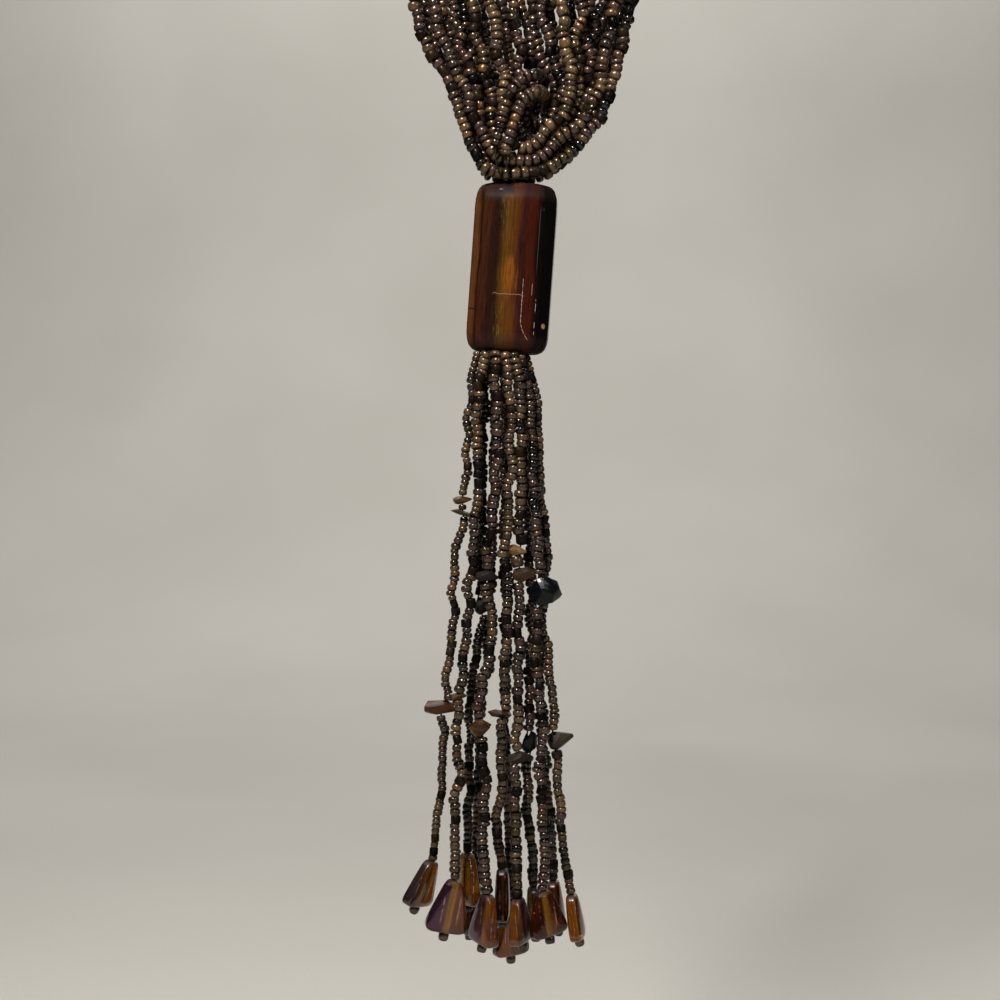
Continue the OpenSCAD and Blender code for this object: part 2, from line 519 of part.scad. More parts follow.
module glass_drop(d) {
    color(amber)
        translate([d[0], front_y + d[1], top_z - d[2]])
            rotate([0, d[3], 0])
                rotate([0, 0, d[5]])
                    difference() {
                        intersection() {
                            rotate([90, 0, 0])
                                linear_extrude(height = glass_thick + 2, center = true)
                                    paddle_front(drop_length(d));
                            rotate([90, 0, 90])
                                linear_extrude(height = glass_foot + 2, center = true)
                                    paddle_side(drop_length(d));
                        }
                        translate([0, 0, -drop_length(d) - 1])
                            cylinder(h = drop_length(d) + 2, d = glass_bore, $fn = 24);
                    }
}

module drop_01() glass_drop(DROPS[0]);
module drop_02() glass_drop(DROPS[1]);
module drop_03() glass_drop(DROPS[2]);
module drop_04() glass_drop(DROPS[3]);
module drop_05() glass_drop(DROPS[4]);
module drop_06() glass_drop(DROPS[5]);
module drop_07() glass_drop(DROPS[6]);
module drop_08() glass_drop(DROPS[7]);
module drop_09() glass_drop(DROPS[8]);
module drop_10() glass_drop(DROPS[9]);
module drop_11() glass_drop(DROPS[10]);
module drop_12() glass_drop(DROPS[11]);

// Chip of stone: two uneven many-sided slabs skinned together, then drilled.
module chip(c, tint) {
    color(tint)
        translate([c[0], front_y + c[1], top_z - c[2]])
            difference() {
                rotate([0, c[6], 0])
                    scale([c[3] / 2, c[5] / 2, c[4] / 2])
                        hull() {
                            rotate([0, 0, c[7]])
                                translate([0, 0, -0.5])
                                    cylinder(h = 1.1, r = 0.97, $fn = c[8]);
                            rotate([0, 0, c[7] + 25])
                                translate([0.05, 0, -1])
                                    cylinder(h = 2, r = 0.62, $fn = c[8]);
                        }
                translate([c[9], c[10], 0])
                    cylinder(h = 14, d = chip_bore, center = true, $fn = 20);
            }
}

module chip_01() chip(CHIPS[0], [0.62, 0.34, 0.13]);
module chip_02() chip(CHIPS[1], [0.42, 0.36, 0.18]);
module chip_03() chip(CHIPS[2], [0.62, 0.44, 0.22]);
module chip_04() chip(CHIPS[3], [0.22, 0.20, 0.19]);
module chip_05() chip(CHIPS[4], [0.40, 0.22, 0.12]);
module chip_06() chip(CHIPS[5], [0.05, 0.05, 0.06]);
module chip_07() chip(CHIPS[6], [0.16, 0.13, 0.12]);
module chip_08() chip(CHIPS[7], [0.36, 0.17, 0.11]);
module chip_09() chip(CHIPS[8], [0.46, 0.32, 0.14]);
module chip_10() chip(CHIPS[9], [0.50, 0.27, 0.12]);
module chip_11() chip(CHIPS[10], [0.38, 0.18, 0.11]);
module chip_12() chip(CHIPS[11], [0.20, 0.13, 0.10]);
module chip_13() chip(CHIPS[12], [0.06, 0.06, 0.06]);
module chip_14() chip(CHIPS[13], [0.34, 0.33, 0.27]);

focal_bead();
thread_core();
hanger_1();
hanger_2();
loop_01();
loop_02();
loop_03();
loop_04();
loop_05();
loop_06();
loop_07();
loop_08();
loop_09();
loop_10();
loop_11();
loop_12();
tassel_01();
tassel_02();
tassel_03();
tassel_04();
tassel_05();
tassel_06();
tassel_07();
tassel_08();
tassel_09();
tassel_10();
tassel_11();
tassel_12();
drop_01();
drop_02();
drop_03();
drop_04();
drop_05();
drop_06();
drop_07();
drop_08();
drop_09();
drop_10();
drop_11();
drop_12();
chip_01();
chip_02();
chip_03();
chip_04();
chip_05();
chip_06();
chip_07();
chip_08();
chip_09();
chip_10();
chip_11();
chip_12();
chip_13();
chip_14();
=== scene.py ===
"""Multi-strand seed bead necklace: twelve looped strings, a stone bead, a tassel of chips and glass."""

import random
from math import atan2, cos, pi, radians, sin, tau

import bpy
import numpy as np
from mathutils import Matrix, Vector


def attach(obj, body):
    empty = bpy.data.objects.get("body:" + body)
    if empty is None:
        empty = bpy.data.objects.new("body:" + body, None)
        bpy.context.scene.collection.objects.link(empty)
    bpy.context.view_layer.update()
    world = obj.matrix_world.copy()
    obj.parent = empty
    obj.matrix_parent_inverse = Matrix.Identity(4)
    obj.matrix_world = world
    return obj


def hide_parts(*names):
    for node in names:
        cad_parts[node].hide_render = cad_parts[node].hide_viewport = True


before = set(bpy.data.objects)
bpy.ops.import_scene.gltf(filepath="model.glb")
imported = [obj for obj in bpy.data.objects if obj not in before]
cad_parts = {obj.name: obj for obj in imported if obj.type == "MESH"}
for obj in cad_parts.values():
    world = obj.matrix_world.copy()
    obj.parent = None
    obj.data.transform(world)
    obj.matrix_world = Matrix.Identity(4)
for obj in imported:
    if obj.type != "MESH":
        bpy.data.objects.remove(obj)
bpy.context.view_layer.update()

# Sizes are in millimetres here, and in metres in the meshes.
MM = 0.001
NECK_HALF = 66
CHEST = 137
DROP = 310
LAYER_GAP = 2.9
MIDDLE_LAYER = 1.5
FOOT = 4.5
# Widths of the beads of the tassel strings, which stand a little proud of the
# smooth strings of the solids, as those of the loops and hangers do.
TASSEL_WIDE = [2.25, 2.6, 2.45, 2.8, 2.55, 2.5, 2.6, 2.8, 2.6, 2.6, 2.5, 2.4]
LOOP_PROUD = {0: 1.18, 1: 1.23, 2: 1.28, 3: 1.30}
HANGER_PROUD = 1.28
# The beads of the strings behind are stouter still where the V is dense.
STOUT = {0: 1.0, 1: 1.03, 2: 1.12, 3: 1.18}
THREAD_RADIUS = 0.22
THREAD_SIDES = 5
LOOP_STEP = 3
TASSEL_STEP = 1.2

FOCAL_WIDTH = 20.5
FOCAL_LENGTH = 42
FOCAL_THICK = 10.5
FOCAL_LEAN = 4
FOCAL_YAW = -6
FOCAL_BORE = 3
MOUTH_WIDER = 2.2
MOUTH_DEEP = 2.4
FOCAL_AT = (0, -CHEST, -DROP - FOCAL_LENGTH / 2 - 0.3)

GLASS_LENGTH = 11.8
GLASS_TOP = 3.6
GLASS_FOOT = 10.4
GLASS_THICK = 4.2
GLASS_BORE = 1
CHIP_BORE = 1
GOLDEN_ANGLE = 2.4

# The line round the neck as shares of the sizes above: x, y, z, lane pitch,
# then the way that the outer sheet of strings faces and how far the two sheets part.
NECK = [
    (0, 0, 0, 3, 0, 1, 0.25, 1),
    (0.47, 0.06, 0.01, 3, 0.3, 0.9, 0.35, 1),
    (0.82, 0.225, 0.042, 3, 0.55, 0.45, 0.75, 1),
    (0.97, 0.445, 0.107, 3, 0.4, -0.15, 0.9, 1),
    (1, 0.65, 0.207, 3, 0.15, -0.65, 0.75, 1),
    (0.925, 0.795, 0.333, 3.4, 0.05, -0.88, 0.45, 1),
    (0.76, 0.885, 0.468, 4.1, 0, -0.95, 0.3, 1.05),
    (0.56, 0.94, 0.603, 4.7, 0, -0.98, 0.2, 1.2),
    (0.37, 0.975, 0.735, 5, 0, -1, 0.1, 1.6),
]
LEVELS = [46, 34, 24, 16]

# One row per loop: depth layer, lane, sheet, bead width, height of its lowest
# point, left x at four levels and at its foot, its lowest stretch, right x up.
LOOPS = [
    (0, 2.5, 0, 2.5, 2.6, -24.6, -21.4, -15.4, -12.8, -9.2, -6, 8, 14.6, 21.8, 24.9, 27.1, 30),
    (0, 1.5, 0, 2.6, 5.4, -20, -17, -12.2, -9.8, -6.2, -3, 6.5, 11.5, 18.3, 21.6, 23.4, 26.6),
    (1, 0.5, 0, 2.4, 2.8, -15.4, -12.8, -9, -8, -7.8, -5, 7.2, 13.4, 17, 19.8, 19.4, 22.6),
    (1, -0.5, 0, 2.4, 5.6, -10.4, -8.4, -5.8, -5, -4, -2, 6, 10.4, 14, 17, 16, 17.6),
    (0, -1.5, 0, 2.5, 8.4, -5.4, -3.8, -2, -2.2, -1.2, 1, 5.2, 9, 12.2, 14.8, 13, 12.6),
    (1, -2.5, 0, 2.4, 11.2, -0.6, 1.4, 1.8, 1.4, 1.8, 3.2, 6.4, 8.4, 9.8, 12.6, 9.6, 7.6),
    (2, 2.5, 1, 2.5, 2.7, -22.2, -19, -14, -11.6, -8.2, -5.4, 7.4, 13.8, 20.2, 22.4, 25, 28.2),
    (3, 1.5, 1, 2.4, 3.2, -17.6, -14.8, -10.6, -9, -6.4, -4, 6.6, 12.6, 18.2, 20, 21, 24.2),
    (2, 0.5, 1, 2.4, 6.2, -12.8, -10.6, -7.4, -6.6, -4.6, -2.2, 6, 10.8, 15.6, 18, 17.6, 19.8),
    (3, -0.5, 1, 2.4, 6, -8, -6.2, -4.2, -4.4, -3.2, -1, 5.6, 10.2, 15, 16.6, 14.4, 15),
    (2, -1.5, 1, 2.4, 12.8, -3, -1.4, 0.2, 0.6, 1.2, 2.6, 6.6, 8.8, 10.8, 13.6, 11.2, 10),
    (3, -2.5, 1, 2.4, 14.2, 1.6, 4, 3.8, 3, 3.4, 4.4, 6.8, 8.8, 11.2, 12.4, 8, 5),
]

# Hangers: x, depth, height above the stone. A last 0 marks bare thread.
HANGER_1 = [
    (2, 0.2, -0.9, 0), (0.8, -2.6, 0.3, 0), (-0.6, -5, 0.25, 0), (-1.2, -6.8, 2, 0),
    (-1.5, -7.4, 5, 0), (-1.6, -7.5, 5.3), (-1.4, -7.5, 8), (-0.2, -7.5, 11.5), (1, -7.5, 15.6),
    (3.2, -7.5, 19.3), (6.2, -6, 21.4), (8.1, -2.4, 21.6), (8.9, 1.8, 20.8), (8.7, 5.8, 18.6),
    (7.7, 7.5, 14), (6.4, 7.5, 9), (5.2, 7.5, 5.2), (5.1, 7.4, 4.9, 0), (4, 6.6, 1, 0),
    (3, 3.2, 0.2, 0),
]
HANGER_2 = [
    (0.8, -0.1, -0.8, 0), (0, -1.6, 0.1, 0), (-1.2, -2.8, 0.4, 0), (-2.6, -5, 0.4, 0),
    (-3.6, -6.8, 2, 0), (-4.3, -7.4, 7.4, 0), (-4.3, -7.5, 7.7), (-3.4, -7.5, 11.4),
    (-2.2, -7.5, 16.2), (-0.4, -7.5, 20.6), (2.4, -7.5, 24), (5.6, -6.4, 25.6), (7.4, -2.6, 25.8),
    (7.9, 1.8, 25.2), (7.4, 5.6, 23.2), (5.7, 7.6, 18.9), (3.6, 7.6, 13), (2, 7.6, 8.2),
    (1.9, 7.5, 7.9, 0), (0.2, 6.8, 1.4, 0), (0.2, 3.2, 0.4, 0),
]

# Tassel strings: x, depth, distance below the top of the stone. A last 0 marks bare thread.
TASSEL = [[
    (-3, -0.5, 43, 0), (-7.8, -1, 44, 0), (-8.4, -1, 44.3), (-10.2, -1, 51), (-11, -1, 64.3),
    (-12, -1, 77.6), (-12.1, -1, 77.8, 0), (-12.3, -1.2, 84.6, 0), (-12.3, -1.2, 84.8),
    (-14.8, -1.4, 97.5), (-14.3, -1.4, 106), (-15.2, -1.2, 115), (-16.8, -1, 128.3),
    (-16.8, -1, 128.5, 0), (-16.8, -1, 132.8, 0), (-16.8, -1, 133), (-17.5, -0.4, 142),
    (-17.3, 0.4, 148), (-19, 1.4, 160), (-19.9, 2, 169.1), (-20, 2, 169.4, 0),
], [
    (-2.6, -1.3, 43, 0), (-5.6, -3, 44, 0), (-6.2, -3.2, 44.3), (-8.2, -3.2, 52),
    (-8.6, -3.2, 66), (-8.3, -3.4, 78), (-9.6, -4.6, 84.5), (-9.4, -4.6, 91), (-10.3, -3.8, 97),
    (-10.8, -3.6, 106), (-11.6, -3.4, 115), (-13, -3.4, 126.2), (-13, -3.4, 126.4, 0),
    (-13.2, -3.4, 128.8, 0), (-13.2, -3.4, 129), (-13.9, -3.8, 137), (-12.9, -4.4, 144),
    (-14, -5.2, 154), (-14.1, -5.8, 164), (-14, -6, 171.7), (-14, -6, 172, 0),
], [
    (-2.9, 0.5, 43, 0), (-5.2, 0.6, 44, 0), (-5.8, 0.6, 44.3), (-6.8, 0.8, 54), (-7.4, 0.8, 66),
    (-7.4, 1, 80), (-7.9, 0.4, 94), (-7.8, -0.6, 102.6), (-7.8, -0.6, 102.8, 0),
    (-7.7, -0.6, 108, 0), (-7.7, -0.6, 108.2), (-8.4, 0.8, 116), (-9.8, 1.6, 122),
    (-10.6, 1.8, 134), (-10.6, 1.6, 144), (-10.9, 2.2, 154), (-11.2, 3, 167.3),
    (-11.2, 3, 167.6, 0),
], [
    (-2.1, -1.5, 43, 0), (-3.6, -3.4, 44, 0), (-3.9, -4.4, 44.3), (-4, -4.8, 52),
    (-3.6, -4.8, 62), (-4.2, -4.8, 76), (-5.4, -4.6, 87), (-6.6, -4.4, 95.8), (-6.6, -4.4, 96, 0),
    (-6.4, -4.4, 99.6, 0), (-6.4, -4.4, 99.8), (-5, -4, 109), (-5.4, -4, 117), (-7.8, -4.4, 126),
    (-8, -4.4, 132.2), (-8, -4.4, 132.4, 0), (-8, -4.4, 138, 0), (-7.9, -4.4, 138.2),
    (-6.7, -4.6, 149), (-7.3, -5.4, 163), (-6.1, -6, 175.3), (-6, -6, 175.6, 0),
], [
    (-1.3, -1.6, 43, 0), (-1.6, -3.6, 44, 0), (-1.8, -4.4, 44.3), (-0.8, -5.2, 50),
    (-0.3, -5.4, 60), (-0.4, -5.4, 72), (-1, -5.2, 83), (-1.8, -5.4, 93), (-1, -6, 103),
    (-1.7, -5.6, 116), (-2.1, -5.4, 130.2), (-2.1, -5.4, 130.4, 0), (-2.1, -5.4, 132.8, 0),
    (-2.1, -5.4, 133), (-3, -5, 143), (-2.2, -4, 150), (-4, -2.2, 158), (-3.3, -0.4, 165),
    (-2.4, 1.6, 170.8), (-2.4, 1.6, 171.1, 0),
], [
    (-2.2, 1.3, 43, 0), (-3.6, 2.6, 44, 0), (-4.2, 2.8, 44.3), (-4.4, 3.2, 60), (-4.6, 3.2, 80),
    (-5.2, 3, 96), (-5.6, 3.4, 110), (-6.6, 4.2, 122), (-8.2, 5, 130), (-8.1, 6.2, 142),
    (-8.8, 7.8, 156), (-9, 9.3, 168), (-9, 9.5, 177.1), (-9, 9.5, 177.4, 0),
], [
    (-1.5, 1.5, 43, 0), (-1.8, 2.6, 44, 0), (-2, 3.5, 44.3), (-1.6, 3.2, 60), (-1.8, 3.2, 80),
    (-1.6, 3, 100), (-1.4, 3, 118), (-1.8, 4.2, 136), (-1.2, 5.8, 150), (-0.6, 7.6, 166),
    (-0.2, 9, 183.1), (-0.2, 9, 183.4, 0),
], [
    (-0.7, -1.4, 43, 0), (0.2, -3.4, 44, 0), (0.4, -4.4, 44.3), (1.9, -4.6, 51), (2.1, -4.8, 62),
    (2.1, -4.6, 76), (1.7, -4.2, 89.6), (1.7, -4.2, 89.8, 0), (1.6, -4.2, 93.2, 0),
    (1.6, -4.2, 93.4), (1.7, -4.2, 95), (1.7, -4.2, 95.2, 0), (1.7, -4.2, 99.6, 0),
    (1.7, -4.2, 99.8), (1.6, -4, 112), (1.5, -4, 128), (1.1, -4, 140.6), (1.1, -4, 140.8, 0),
    (1, -4, 144.4, 0), (1, -4, 144.6), (0.8, -4.8, 160), (1.2, -5.8, 170), (1.3, -6, 176.2),
    (1.3, -6, 176.5, 0),
], [
    (-0.6, 1.2, 43, 0), (0.2, 2.4, 44, 0), (0.4, 3.4, 44.3), (3, 2.6, 58), (4, 2.2, 80),
    (4.6, 2, 94), (4.8, 1.4, 108), (4.4, 0.2, 122), (4.2, -1, 136.2), (4.2, -1, 136.4, 0),
    (4, -1, 142.4, 0), (4, -1, 142.6), (3.8, 1, 156), (5.2, 3.8, 168), (5.4, 5.4, 176.4),
    (5.4, 5.4, 176.7, 0),
], [
    (-0.3, -0.8, 43, 0), (1.4, -2.2, 44, 0), (1.9, -2.4, 44.3), (4, -3, 53), (5, -3.2, 66),
    (5.3, -3.4, 78), (6.4, -3.8, 88), (6.6, -3.6, 97.2), (6.6, -3.6, 97.4, 0),
    (6.3, -3.6, 105.8, 0), (6.3, -3.6, 106), (5.9, -3.8, 114), (6.3, -3.8, 124), (7.6, -3.6, 134),
    (6.9, -4.8, 148), (7.8, -6.4, 162), (8, -7.6, 168), (7.4, -8.6, 173.7), (7.4, -8.6, 174, 0),
], [
    (-0.1, 0.6, 43, 0), (1.8, 1.6, 44, 0), (2.4, 1.8, 44.3), (5.4, 3.2, 56), (6.8, 3.8, 74),
    (8, 3.8, 92), (7.4, 3.2, 108), (7.2, 2.6, 122), (7.6, 2.4, 138), (9, 3.4, 152),
    (9.9, 4.8, 162), (10.5, 6, 175.1), (10.5, 6, 175.4, 0),
], [
    (0, -0.1, 43, 0), (2.2, -0.4, 44, 0), (3, -0.4, 44.3), (5.9, -0.4, 53), (6.7, -0.4, 64),
    (6.8, -0.4, 76), (8.8, 0.6, 91), (8, 1.2, 99), (7.4, 0.6, 108), (8.8, -0.8, 117),
    (10.2, -0.8, 130), (10.6, -0.8, 136), (10.6, -0.8, 136.2, 0), (10.6, -0.8, 141.6, 0),
    (10.7, -0.8, 141.8), (11.9, -0.6, 152), (12.4, 0, 162), (14.8, 1, 177.2), (14.9, 1, 177.5, 0),
]]
# How far below the stone the first three stations of a string lie.
HEAD_GAPS = [0.1, 0.2, 0.45]
# The drop that each tassel string ends in.
DROP_OF = [0, 1, 2, 4, 5, 3, 6, 7, 8, 9, 10, 11]

# Glass drops: x, depth and distance down of the top, lean, share of the length,
# turn, then the tones of its two sides in the front view, its bloom, and how
# strongly a yellow line is painted where the lit hole shows through the glass.
DROPS = [
    (-20.1, 2, 169.7, 20, 1, 55, 0.9, 0.55, 0.5, 0.5),
    (-14, -6, 172.4, 12, 1.1, 12, 0.98, 0.42, 0.7, 1),
    (-11.2, 3, 168, 0, 1.07, -60, 0.78, 0.52, 0.3, 0.5),
    (-9, 9.5, 177.8, 8, 1.03, 85, 0.2, 0.3, 0.2, 0.3),
    (-6, -6, 175.9, 6, 1.03, -56, 0.95, 0.6, 0.9, 0.3),
    (-2.4, 1.6, 171.5, 0, 1.08, 85, 0.1, 0.22, 0.3, 0.1),
    (-0.2, 9, 183.8, 0, 1, 35, 0.56, 0.9, 0.5, 0.3),
    (1.3, -6, 176.9, -6, 0.9, 66, 0.62, 0.96, 0.6, 0.6),
    (5.4, 5.4, 177.1, -3, 1, 85, 0.82, 0.2, 0.2, 0.5),
    (7.4, -8.6, 174.4, -9, 0.92, 35, 0.24, 0.34, 0.3, 1),
    (10.5, 6, 175.8, -6, 1, 80, 0.32, 0.4, 0.3, 0.3),
    (14.9, 1, 177.9, -9, 0.92, 80, 0.6, 0.45, 0.3, 0.7),
]

# Stone chips: centre x, depth and distance down, width, height, thickness,
# lean, x and depth of the hole, number of cut faces, finish and tone.
CHIPS = [
    (-12.4, -1, 79, 4.8, 2, 3.6, -6, 0.3, 0, 9, "amber", 0.45),
    (-11, -1.2, 82.7, 9, 1.3, 3, 19, -1.3, 0, 8, "olive", 0.4),
    (1.4, -4.3, 91.5, 4.4, 2.9, 3.6, 8, 0.3, 0.1, 9, "amber", 0.85),
    (-6.1, -4.4, 97.8, 6, 3, 3.6, 6, -0.4, 0, 10, "dark", 0.45),
    (2.8, -4.4, 97.4, 5.6, 3.8, 3.6, -12, -1.1, 0.2, 9, "brown", 0.75),
    (8.4, -4, 101.6, 8.2, 7.4, 5, 10, -1.9, 0.4, 12, "black", 0.4),
    (-7.4, -0.7, 105.4, 3.8, 4.6, 3.2, 8, -0.3, 0.1, 8, "dark", 0.3),
    (-17.8, -1, 130.7, 8, 3.7, 4.4, 4, 1, 0, 8, "brown", 0.3),
    (-13.1, -3.4, 127.6, 3.8, 2, 3.4, -8, 0, 0, 8, "olive", 0.8),
    (-7.8, -4.4, 135.1, 5.6, 4.8, 3, -20, -0.2, 0, 10, "amber", 0.25),
    (-3.1, -5.5, 131.6, 6, 1.8, 4, 5, 1, 0.1, 9, "brown", 0.5),
    (2, -4.1, 142.6, 6, 3.2, 4, -4, -0.9, 0.1, 10, "dark", 0.7),
    (4.4, -1, 139.4, 3.8, 5.6, 2.6, 6, -0.3, 0, 8, "black", 0.3),
    (12.1, -0.8, 138.7, 6.8, 4.6, 3.2, -15, -1.45, -0.1, 9, "olive", 0.14),
]

LOOP_TINTS = "khaki khaki plum khaki tan plum grey khaki plum grey khaki plum".split()
# How far the lowest stretch of each loop's beads is raised, so that they lie
# one above the other where the loops pass under each other.
LOW_LIFT = [0, 0, 1.3, 1.3, 0, -0.3, 0, 1.3, 0, 1.3, -1.0, 3.4]
# How far the sides of each loop are drawn together above the hangers.
DRAWN_IN = [0, 0, 0, 0, 0, 0.2, 0, 0, 0, 0, 0.4, 1.0]
TASSEL_TINTS = "khaki khaki grey plum khaki grey grey khaki plum plum grey khaki".split()

# Single beads that stand out: string, x, distance below the top of the stone,
# width, length and tone. A last 1 marks a bead that has turned out of line.
ODD_BEADS = [
    ("loop_05", 11.8, -42.2, 3, 2.6, 0.9), ("loop_05", 12.6, -38.6, 2.9, 2.4, 0.88),
    ("loop_05", 13.6, -33.4, 3, 2.6, 0.92), ("loop_04", -6.5, -29, 2.6, 2.2, 0.97),
    ("loop_03", -10.9, -19.8, 2.5, 2.1, 0.96), ("loop_02", 18.3, -16.5, 2.8, 1.2, 0.62, 1),
    ("hanger_1", 0.2, -11.8, 2.5, 2, 0.97), ("hanger_1", 0.9, -14.2, 2.4, 2, 0.96),
    ("tassel_04", -4, 51.8, 2.5, 2.2, 0.86),
]

# The bead round which the thread turns back: width, length, and how far its
# middle lies below the drop.
TURN_BEAD = (2.5, 2.1, 1.05)
# How far the last beads reach into the mouth of the drop.
INTO_DROP = 0.45
# How far the beads next to a chip are moved up to it.
TO_CHIP = 0.4

# Single beads on the bare thread by the thin chips: string, distance below the
# top of the stone, width and length.
LOOSE_BEADS = [
    ("tassel_01", 80.8, 2.0, 1.3),
    ("tassel_01", 83.9, 2.1, 1.5),
]


# Routes of the strings.


def unit(v):
    return v / np.linalg.norm(v)


def smooth_point(a, b, c, d, u):
    """Point at share u between b and c of a smooth curve through a, b, c and d."""
    t1 = np.linalg.norm(b - a) ** 0.5
    t2 = t1 + np.linalg.norm(c - b) ** 0.5
    t3 = t2 + np.linalg.norm(d - c) ** 0.5
    t = t1 + u * (t2 - t1)
    a1 = (t1 - t) / t1 * a + t / t1 * b
    a2 = (t2 - t) / (t2 - t1) * b + (t - t1) / (t2 - t1) * c
    a3 = (t3 - t) / (t3 - t2) * c + (t - t2) / (t3 - t2) * d
    b1 = (t2 - t) / t2 * a1 + t / t2 * a2
    b2 = (t3 - t) / (t3 - t1) * a2 + (t - t1) / (t3 - t1) * a3
    return (t2 - t) / (t2 - t1) * b1 + (t - t1) / (t2 - t1) * b2


class Route:
    """A string's smooth middle line, with places along it by length."""

    def __init__(self, stations, closed, steps):
        p = [np.array(s, float) for s in stations]
        n = len(p)
        self.stations = n
        self.steps = steps
        self.closed = closed
        if not closed:
            p = [2 * p[0] - p[1]] + p + [2 * p[-1] - p[-2]]
        points = []
        for i in range(n if closed else n - 1):
            four = [p[(i + k - 1) % n] for k in range(4)] if closed else p[i:i + 4]
            points += [smooth_point(*four, k / steps) for k in range(steps)]
        points.append(p[0] if closed else p[-2])
        self.points = np.array(points)
        self.measure()

    def measure(self):
        gaps = np.linalg.norm(np.diff(self.points, axis=0), axis=1)
        self.lengths = np.concatenate([[0], np.cumsum(gaps)])
        self.total = self.lengths[-1]

    def kink(self, seed, share):
        """Small uneven bends, as beads of mixed sizes give a string; share tells how much where."""
        chance = random.Random(seed)
        waves = [
            (chance.uniform(0.30, 0.62), chance.uniform(6, 15), chance.uniform(0, tau), axis)
            for axis in (0, 0, 0, 1, 2) for _ in range(2)
        ]
        amount = np.array([share(point) for point in self.points])
        for size, length, start, axis in waves:
            size *= 0.5 if axis == 1 else 1
            self.points[:, axis] += amount * size * np.sin(tau * self.lengths / length + start)
        if self.closed:
            self.points[-1] = self.points[0]
        self.measure()

    def lift(self, rise, share):
        """Raised by that much where share is 1."""
        self.points[:, 2] += rise * np.array([share(point) for point in self.points])
        self.measure()

    def draw_in(self, middle, amount, share):
        """Each side drawn that much nearer to a line where share is 1."""
        side = np.clip((middle - self.points[:, 0]) / 1.5, -1, 1)
        self.points[:, 0] += side * amount * np.array([share(point) for point in self.points])
        self.measure()

    def at(self, s):
        return np.array([np.interp(s, self.lengths, self.points[:, k]) for k in range(3)])

    def along(self, s):
        return unit(self.at(min(s + 0.6, self.total)) - self.at(max(s - 0.6, 0)))

    def depth(self, down):
        """Length at which a hanging route reaches a distance below the top of the stone."""
        return np.interp(down, -DROP - self.points[:, 2], self.lengths)

    def station(self, i):
        """Length at which the route passes its i-th station."""
        return self.lengths[i * self.steps]

    def nearest(self, place, floor):
        """Length at which the route comes nearest to an x and a height, in the front view."""
        gap = np.hypot(self.points[:, 0] - place[0], self.points[:, 2] - place[1])
        gap[self.points[:, 2] > floor] = 1e6
        return self.lengths[int(np.argmin(gap))]


def neck_point(base, side, lane, sheet, k):
    row = NECK[k]
    out = unit(np.array([side * row[4], row[5], row[6]]))
    if k == 0:
        way = np.array([side, 0, 0])
    else:
        way = unit(base[min(k + 1, len(base) - 1)] - base[k - 1])
    wide = unit(np.cross(out, way)) * side
    face = unit(np.cross(way, wide)) * side
    if face @ out < 0:
        face = -face
    return base[k] + wide * lane * row[3] + face * (0.5 - sheet) * LAYER_GAP * row[7]


def neck_side(side, lane, sheet):
    """Places of a loop's lane from the nape down one side."""
    base = [np.array([side * r[0] * NECK_HALF, -r[1] * CHEST, -r[2] * DROP]) for r in NECK]
    return [neck_point(base, side, lane, sheet, k) for k in range(len(NECK))]


def loop_route(row):
    """Whole route of one loop, from the nape down the right side and back up."""
    y = -CHEST + (row[0] - MIDDLE_LAYER) * LAYER_GAP
    heights = LEVELS + [row[4] + min(FOOT, 0.6 * (LEVELS[3] - row[4]))]
    right = [(row[16 - k], y, -DROP + heights[k]) for k in range(5)]
    low = [(row[11], y, -DROP + row[4]), (row[10], y, -DROP + row[4])]
    left = [(row[5 + k], y, -DROP + heights[k]) for k in range(4, -1, -1)]
    up = neck_side(-1, row[1], row[2])[:0:-1]
    return Route(neck_side(1, row[1], row[2]) + right + low + left + up, True, 10)


def hanger_route(rows):
    return Route([(s[0], -CHEST + s[1], -DROP + s[2]) for s in rows], True, 8)


def drop_way(row):
    return np.array([-sin(radians(row[3])), 0, -cos(radians(row[3]))])


def drop_length(row):
    return GLASS_LENGTH * row[4]


def drop_place(row, along):
    return np.array([row[0], -CHEST + row[1], -DROP - row[2]]) + along * drop_way(row)


def under_stone(x):
    """Height of the stone's leaning underside there; the strings start right below it."""
    lean = radians(FOCAL_LEAN)
    foot = FOCAL_AT[2] - FOCAL_LENGTH / 2 * cos(lean)
    return foot - (x + FOCAL_LENGTH / 2 * sin(lean)) * sin(lean)


def tassel_route(i):
    row = DROPS[DROP_OF[i]]
    own = [(s[0], -CHEST + s[1], -DROP - s[2]) for s in TASSEL[i]]
    for k, gap in enumerate(HEAD_GAPS):
        own[k] = (*own[k][:2], under_stone(own[k][0]) - gap)
    long = drop_length(row)
    end = [drop_place(row, a) for a in (0.6, long / 2, long + 0.2, long + 1.4)]
    return Route(own + end, False, 8)


def beaded_spans(route, rows):
    """Lengths between which the route is beaded."""
    spans = []
    start = None
    for i, row in enumerate(rows):
        bare = len(row) == 4
        if not bare and start is None:
            start = route.station(i)
        if bare and start is not None:
            spans.append((start, route.station(i - 1)))
            start = None
    return spans


def closer(spans, reach):
    """Beads next to a chip moved up to it; the two ends of the string stay."""
    last = len(spans) - 1
    return [(a - reach * (k > 0), b + reach * (k < last)) for k, (a, b) in enumerate(spans)]


# Modelling by operators.


def clear():
    """Nothing selected and no mode left open."""
    if bpy.context.object and bpy.context.object.mode != "OBJECT":
        bpy.ops.object.mode_set(mode="OBJECT")
    bpy.ops.object.select_all(action="DESELECT")


def added(name, primitive, **settings):
    """A new primitive under its own name."""
    clear()
    primitive(**settings)
    piece = bpy.context.object
    piece.name = name
    piece.data.name = name
    return piece


def take(piece):
    clear()
    piece.select_set(True)
    bpy.context.view_layer.objects.active = piece


